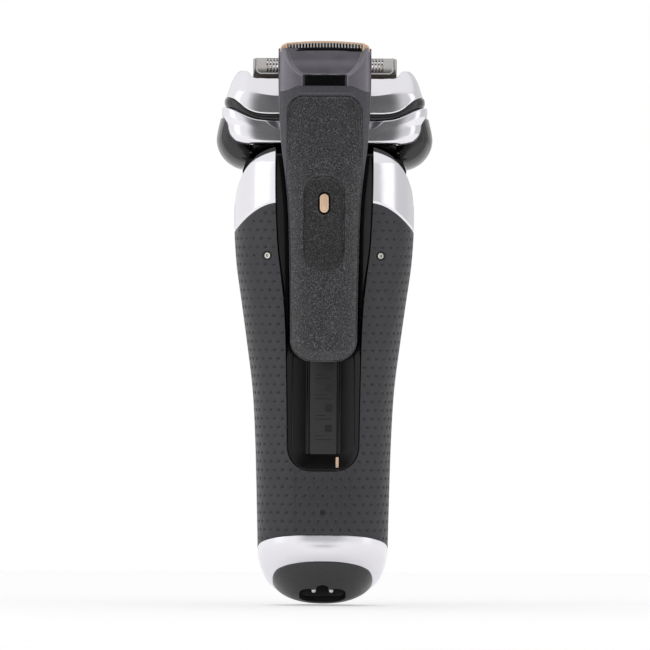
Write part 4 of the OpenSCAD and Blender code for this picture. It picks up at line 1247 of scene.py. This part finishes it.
# Share of the height of the base, its half width and its half depth
base_size = smooth_curve([
    (0, 24.2, 14.6),
    (0.03, 25.9, 15.3),
    (0.08, 27.5, 15.7),
    (0.15, 28.4, 15.85),
    (0.25, 29.2, 15.88),
    (0.4, 29.7, 15.88),
    (0.56, 29.9, 15.88),
    (0.66, 30.4, 15.88),
    (0.75, 31.0, 15.88),
    (1, 31.2, 15.88),
])


def add_base():
    """Silver base of the head with a scoop behind the trimmer and a pocket for each release button."""
    foot = PIVOT_Z - 1
    x0, y0 = even_loop(BASE_HALF, BASE_DEPTH, BASE_N, 520)
    top = base_top(x0)
    rows = []
    for t in np.concatenate([[0, 0.012, 0.03, 0.06], np.linspace(0.1, 0.94, 40), [0.965, 0.985, 1]]):
        half, depth = base_size(t)
        inset = 0.3 * smooth_step(t, 0.975, 1)
        z = foot + (top - foot) * t
        lip = 144.1 + 3.4 * smooth_step(np.abs(x0), 13.5, 19.4)
        sunk = 0.9 * smooth_step(z - lip, 0, 3.2) * (1 - smooth_step(np.abs(x0), 18.0, 20.0)) * (y0 < 0)
        rows.append((x0 * (half - inset) / BASE_HALF, y0 * (depth - inset) / BASE_DEPTH + sunk, z))
    rows.append((x0 * 0.945, y0 * 0.9, top - 0.1))
    for t, share in ((0.7, 0.945), (0.3, 0.91), (0.08, 0.83)):
        rows.append((x0 * share, y0 * (share - 0.03), foot + (top - foot) * t))
    rows.append((x0 * 0.745, y0 * 0.7, foot))

    def hidden_at(x, y, z):
        return (np.abs(y - HEAD_Y) < POCKET_HALF) & (np.abs(x) > 19) & (z < POCKET_TOP_Z)

    piece("base", trim(head_ring(rows), hidden_at), "satin_silver", "head", ["head_base"], sharp=40)


# Height and distance of the release button's outside from the long axis
button_outside = smooth_curve([
    (132.5, 25.6),
    (133.3, 27.4),
    (134.4, 29.2),
    (136, 30.8),
    (137.9, 32.0),
    (139.7, 32.65),
    (141.4, 32.88),
    (143.3, 32.7),
    (147, 31.9),
    (148.3, 31.6),
])
# Height and distance of its inside, which goes round the yoke
BUTTON_INSIDE_Z = [132.5, 133.2, 134, 136.6, 137.2, 138, 139.4, 140.3, 141.1, 148]
BUTTON_INSIDE_X = [23.9, 23.2, 22.9, 22.9, 23.9, 24.2, 25.3, 26.3, 28.2, 28.6]
BUTTON_LOW_Z = 132.5
BUTTON_HIGH_Z = 148.3
BUTTON_HALF = 9.95


def add_release_button(side, name):
    """Dark grip on the head's side that releases the cassette, domed and with rounded edges."""
    height = BUTTON_HIGH_Z - BUTTON_LOW_Z
    across = BUTTON_HALF * np.sin(np.linspace(-math.pi / 2, math.pi / 2, 40))
    share = np.abs(across) / BUTTON_HALF
    rows = []
    for z in BUTTON_LOW_Z + height * (0.5 - 0.5 * np.cos(np.linspace(0, math.pi, 60))):
        inner = np.interp(z, BUTTON_INSIDE_Z, BUTTON_INSIDE_X)
        end = 1 - smooth_step(min(z - BUTTON_LOW_Z, BUTTON_HIGH_Z - z), 0, 0.5)
        outer = button_outside(z)[0] - 2.0 * share**3 - 0.9 * smooth_step(share, 0.93, 1) ** 2 - 0.35 * end
        lift = (BUTTON_HIGH_Z - z) / height * 2.4 * share**2
        front = row(side * np.maximum(outer, inner + 0.25), across + HEAD_Y, z + lift)
        back = row(side * inner, across + HEAD_Y, z + lift)[::-1]
        rows.append(np.concatenate([front, back]))
    shape = lattice(rows, wrap=True, ends=True)
    piece(name, shape, "grey_gloss", name, [name.replace("release", "release_button")], sharp=50)


FOIL_AXIS_Z = 161.7
FOIL_R = 4.75
FOIL_APART = 6.75
SLOT_PITCH = 0.97
SLOT_ROWS = 9
SLOT_COLUMNS = 37
SLOT_HALF_WIDTH = 0.3
SLOT_HALF_LENGTH = 0.66
SLOT_TILT = 0.16
SHEET_HALF = 20.9
SHEET_THICK = 0.14


def bent(u, v, y, radius):
    """Points of a flat sheet (u along x, v round the arch from its top) bent over a foil's axis."""
    a = np.asarray(v) / FOIL_R
    return row(u, y - radius * np.sin(a), FOIL_AXIS_Z + 0.05 + radius * np.cos(a))


def slot_cell(u, v, height, tilt):
    """Cell of a sheet with a slanted slot in it: ring of faces from the cell's edge to the slot's edge."""
    corner = [(1, 1), (0, 1), (-1, 1), (-1, 0), (-1, -1), (0, -1), (1, -1), (1, 0)]
    hole = [(0.7, 0.9), (0, 1), (-0.7, 0.9), (-1, 0), (-0.7, -0.9), (0, -1), (0.7, -0.9), (1, 0)]
    outer = [(u + a * SLOT_PITCH / 2, v + b * height / 2) for a, b in corner]
    inner = [
        (u + a * SLOT_HALF_WIDTH + tilt * b * SLOT_HALF_LENGTH, v + b * SLOT_HALF_LENGTH) for a, b in hole
    ]
    return outer + inner, [(k, (k + 1) % 8, 8 + (k + 1) % 8, 8 + k) for k in range(8)]


def foil_sheet(y, arc):
    """Thin arched sheet with rows of slanted slots and plain ends, its cells merged at their edges."""
    height = arc / SLOT_ROWS
    half = SLOT_COLUMNS * SLOT_PITCH / 2
    cells = []
    for line in range(SLOT_ROWS):
        v = (line - (SLOT_ROWS - 1) / 2) * height
        for column in range(SLOT_COLUMNS):
            u = (column - (SLOT_COLUMNS - 1) / 2) * SLOT_PITCH
            cells.append(slot_cell(u, v, height, SLOT_TILT if line % 2 else -SLOT_TILT))
        for side in (-1, 1):
            grid = [(side * u, v + b * height / 2) for b in (-1, 0, 1) for u in (half, SHEET_HALF)]
            cells.append((grid, [(0, 1, 3, 2), (2, 3, 5, 4)]))
    points, faces = joined(*((bent(*np.transpose(flat), y, FOIL_R), faces) for flat, faces in cells))
    _, first, merged = np.unique(np.round(points, 4), axis=0, return_index=True, return_inverse=True)
    merged = merged.reshape(-1)
    faces = [tuple(int(merged[i]) for i in f) for f in faces]

    def inward(p):
        away = (p - np.array([0, y, FOIL_AXIS_Z])) * np.array([0, 1, 1])
        return p - away / np.linalg.norm(away, axis=1)[:, None] * SHEET_THICK

    return with_rim((points[first], faces), inward)


def foil_rim(y, arc):
    """Raised rounded rim round the sheet's edge."""
    corners = np.array(rounded_outline(2 * SHEET_HALF - 0.4, arc + 0.5, 1.3, 0, 0, 6))
    loop = []
    for a, b in zip(corners, np.roll(corners, -1, axis=0)):
        steps = max(2, int(math.dist(a, b) / 0.7))
        loop += [a + (b - a) * t for t in np.linspace(0, 1, steps, endpoint=False)]
    rows = []
    for inset, lift in ((-0.18, -0.1), (-0.17, 0.08), (0, 0.15), (0.17, 0.08), (0.18, -0.1)):
        rows.append(bent(*inset_outline(loop, inset).T, y, FOIL_R + lift))
    return lattice(rows, wrap=True, closed=True)


def add_foil(y, end):
    """Arched foil with its raised rim, its two end plates and the dark carrier under it."""
    name = "foil_" + end
    body = name + "_unit"
    arc = math.pi * FOIL_R * 0.965
    piece(name, joined(foil_sheet(y, arc), foil_rim(y, arc)), "foil_steel", body, [name], sharp=40)

    profile = [
        (21.7, 4.6, 157.5),
        (21.8, 4.75, 157.7),
        (21.8, 4.75, 161.5),
        (21.65, 4.6, 161.75),
        (20.6, 3.9, 161.75),
        (20.5, 3.8, 157.5),
    ]
    rows = []
    for half_x, half_y, z in profile:
        x, dy = even_loop(half_x, half_y, 16, 200)
        rows.append(row(x, dy + y, z))
    carrier = name + "_carrier"
    piece(carrier, lattice(rows, wrap=True, closed=True), "carrier_plastic", body, [carrier], sharp=40)

    turn = np.linspace(-0.06, math.pi + 0.06, 40)
    ends = []
    for side in (-1, 1):
        rows = []
        for x, less in ((20.95, 0.25), (21.1, 0.06), (21.55, 0.06), (21.85, 0.35)):
            r = FOIL_R - less
            rows.append(row(side * x, y - r * np.cos(turn), FOIL_AXIS_Z + r * np.sin(turn)))
        ends.append(lattice(rows, wrap=True, ends=True))
    piece(name + "_ends", joined(*ends), "foil_steel", body, sharp=40)


def add_lift_comb():
    """Gold comb between the foils with rounded teeth, and the two thin guards beside it."""
    root_z = 163.1
    pitch = 1.25
    side = [(19.9, 156.6), (19.9, 160.3), (18.95, 160.6), (18.9, root_z)]
    tooth = [(0.36, root_z), (0.3, 164.1), (0.12, 164.5)]
    teeth = [(k * pitch + x, z) for k in range(14, -15, -1) for x, z in tooth + mirrored(tooth)]
    outline = [(-19.9, 156.6)] + side + teeth + mirrored(side[1:])
    comb = plate(outline, HEAD_Y - 0.85, HEAD_Y + 0.85, 0.08, 2)
    piece("lift_comb", comb, "gold_metal", "centre_unit", ["lift_trimmer"], sharp=40)
    guards = []
    for y in (HEAD_Y - 1.55, HEAD_Y + 1.55):
        guards.append(plate(rounded_outline(40.6, 7.1, 0.8, 0, 160.2), y - 0.14, y + 0.14, 0.06, 2))
    piece("comb_guards", joined(*guards), "foil_steel", "centre_unit", ["skin_guard"], sharp=40)


def add_yoke():
    """Black saddle under the head: arms to the pivot pins and a round shroud about the axis."""
    half = [(21.8, 127.7), (21.8, 135.9), (21.2, 136.7), (18.4, 136.9), (18.4, 140.9)]
    arm = np.linspace(0.15, math.pi - 0.1, 14)
    half += [(12.5 + 5.9 * math.cos(t), PIVOT_Z + 3.3 * math.sin(t)) for t in arm]
    half += [(6.7, 140.6), (6.6, 136.9), (4.6, 136.6)]
    shapes = [plate(half + mirrored(half), HEAD_Y - 3.6, HEAD_Y + 3.6, 0.4)]
    turn = np.linspace(math.radians(176), math.radians(364), 60)
    profile = [(6.6, 8.9), (6.6, 9.4), (6.8, 9.5), (21.75, 9.5), (22.0, 9.25), (22.0, 8.9)]
    for side in (-1, 1):
        rows = [row(side * x, HEAD_Y + r * np.cos(turn), PIVOT_Z + r * np.sin(turn)) for x, r in profile]
        shapes.append(lattice(rows, closed=True))
    piece("yoke", joined(*shapes), "gloss_black", "root", ["head_yoke"], sharp=40)


def add_neck_screens():
    """Black fins and cheeks that close the neck behind the release buttons, on the handle and the head."""
    top_z = 135.8
    fin = [(20.9, 128), (24.6, 128), (24.9, 132.3), (23.8, 135.2), (23.4, top_z), (20.9, top_z)]
    points, faces = joined(*(plate(outline, -6.3, -5.9, 0.1, 1) for outline in (fin, mirrored(fin))))
    rear_face = points[:, 1] < -6.1
    points[rear_face, 1] -= 0.08 + 0.24 * (top_z - points[rear_face, 2])
    piece("neck_screens", (points, faces), "gloss_black", "root")
    cheeks = []
    for x in (-23.0, 23.0):
        cheeks.append(plate(rounded_outline(3.9, 7, 0.5, x, 139.2), HEAD_Y + 10.2, HEAD_Y + 10.7, 0.1, 1))
    piece("head_screens", joined(*cheeks), "gloss_black", "head")


# ---------- front and small parts ----------

def ring_section(outer, inner, low, high, edge):
    """Closed profile of a ring with rounded edges, for lathe()."""
    return [
        (inner + edge, low),
        (outer - edge, low),
        (outer, low + edge),
        (outer, high - edge),
        (outer - edge, high),
        (inner + edge, high),
        (inner, high - edge),
        (inner, low + edge),
        (inner + edge, low),
    ]


def add_power_button():
    """Polished bezel and a dished satin button with a ring mark."""
    centre = (0, 0, POWER_Z)
    bezel = [
        (8.3, 12.9), (8.5, 13.1), (8.5, 17.0), (8.35, 17.25), (8.0, 17.3), (7.55, 16.9), (7.3, 16.3),
        (7.3, 13.8), (2.2, 13.6), (2.2, 12.9), (8.3, 12.9),
    ]
    piece("bezel", lathe(bezel, 64, centre, ends=False), "nickel", "root", ["button_bezel"], sharp=45)
    cap = [(r, 16.75 - 0.5 * (1 - (r / 6.6) ** 2)) for r in np.linspace(0.05, 6.4, 12)]
    cap += [(6.75, 16.72), (6.95, 16.55), (7.0, 16.3), (7.0, 15.2), (1.5, 15.1), (1.5, 11.2), (0.05, 11.2)]
    piece("power_cap", lathe(cap, 64, centre), "satin_silver", "power_button", ["power_button"], sharp=45)
    mark = lathe(ring_section(2.5, 2.1, 16.1, 16.42, 0.08), 40, centre, ends=False)
    piece("power_mark", mark, "nickel", "power_button", sharp=45)


def add_display():
    """Gloss window that follows the front, with a raised bar gauge and a ring on it."""
    window = inside_outline(rounded_outline(13.7, 23.7, 2.85, 0, DISPLAY_Z))
    below = 0.12
    xs = np.linspace(-7, 7, 57)
    rows = []
    for z in np.linspace(DISPLAY_Z - 12, DISPLAY_Z + 12, 97):
        rows.append(row(xs, (handle_size(z)[2] - below) * depth_share(xs, z), z))
    pane = trim(lattice(rows), lambda x, y, z: ~window(x, z))
    pane = with_rim(pane, lambda points: points - np.array([0, 1.1, 0]))
    piece("display", pane, "gloss_black", "root", ["display_window"], sharp=45)
    y = handle_size(DISPLAY_Z + 7)[2] - below
    ring = ring_section(1.5, 1.15, y - 0.15, y + 0.02, 0.05)
    marks = [lathe(ring, 40, (0, 0, DISPLAY_Z + 7.4), ends=False)]
    for k in range(5):
        z = DISPLAY_Z - 6.6 + 2.5 * k
        y = handle_size(z)[2] - below
        marks.append(plate(rounded_outline(4.2, 1.3, 0.3, 0, z, 4), y - 0.2, y + 0.03, 0.05, 1))
    piece("display_marks", joined(*marks), "nickel", "root", sharp=45)


def add_head_lock():
    """Grey slide with grip ribs that locks the head."""
    z = LOCK_Z + 1.3
    face_y = 19.35
    shapes = [
        plate(rounded_outline(9.9, 4.9, 1.55, 0, z, 8), 18.35, face_y, 0.35, 3),
        plate(rounded_outline(3, 3, 0.9, 0, z, 6), 13.6, 18.6, 0.1, 1),
    ]
    for k in range(-2, 3):
        shapes.append(plate(rounded_outline(0.5, 3.0, 0.22, k * 1.3, z, 4), 19.1, face_y + 0.22, 0.12, 2))
    piece("lock_slide", joined(*shapes), "grey_gloss", "lock_switch", ["lock_switch"], sharp=45)


CONTACT_TURN = math.radians(20)


def add_contacts():
    """Two round contacts in black bushes on the back, each with a punched middle, and the vent's plug."""
    bush = lathe(ring_section(1.43, 0.95, 0.02, 2.2, 0.1), 40, ends=False)
    cup = lathe([
        (0.05, 1.5), (0.4, 1.45), (0.44, 0.4), (0.54, 0.22), (0.84, 0.2), (0.95, 0.3), (0.98, 0.5),
        (0.98, 2.4), (0.05, 2.4),
    ], 40)

    def on_both_sides(shape):
        surface_y = -handle_size(CONTACT_Z)[1] * depth_share(CONTACT_X, CONTACT_Z)
        placed = []
        for side in (-1, 1):
            c, s = math.cos(CONTACT_TURN), side * math.sin(CONTACT_TURN)
            turned = shape[0] @ np.array([[c, s, 0], [-s, c, 0], [0, 0, 1]])
            placed.append((turned + np.array([side * CONTACT_X, surface_y, CONTACT_Z]), shape[1]))
        return joined(*placed)

    piece("contact_rings", on_both_sides(bush), "seal_rubber", "root", ["contact_bushes"], sharp=45)
    piece("contact_cups", on_both_sides(cup), "nickel", "root", ["contact_pins"], sharp=45)
    plug = [
        (0.05, 0.5), (0.3, 0.48), (0.36, 0.2), (0.62, 0.16), (0.78, 0.3), (0.8, 0.5), (0.8, 1.3), (0.05, 1.3),
    ]
    plug = lathe(plug, 36, (0, -handle_size(VENT_Z)[1], VENT_Z))
    piece("vent", plug, "case_plastic", "root", ["vent_plug"], sharp=45)


# ---------- the scene ----------

add_camera()
add_studio()
materials = make_materials()

slot_of = {part["node"]: part["material_slot"] for part in frame["record"]["subparts"]}
for node, shape in frame["nodes"].items():
    shape.data.materials.clear()
    shape.data.materials.append(materials[slot_of[node]])

add_grip()
add_shoulders()
add_front()
add_ring()
add_end_cap()
add_trimmer_body()
add_nose()
add_comb()
add_blade()
add_trimmer_button()
add_channel()
add_label()
add_cassette()
add_gap_band()
add_base()
add_release_button(-1, "release_left")
add_release_button(1, "release_right")
add_foil(HEAD_Y - FOIL_APART, "rear")
add_foil(HEAD_Y + FOIL_APART, "front")
add_lift_comb()
add_yoke()
add_neck_rim()
add_neck_screens()
add_power_button()
add_display()
add_head_lock()
add_contacts()
add_socket()
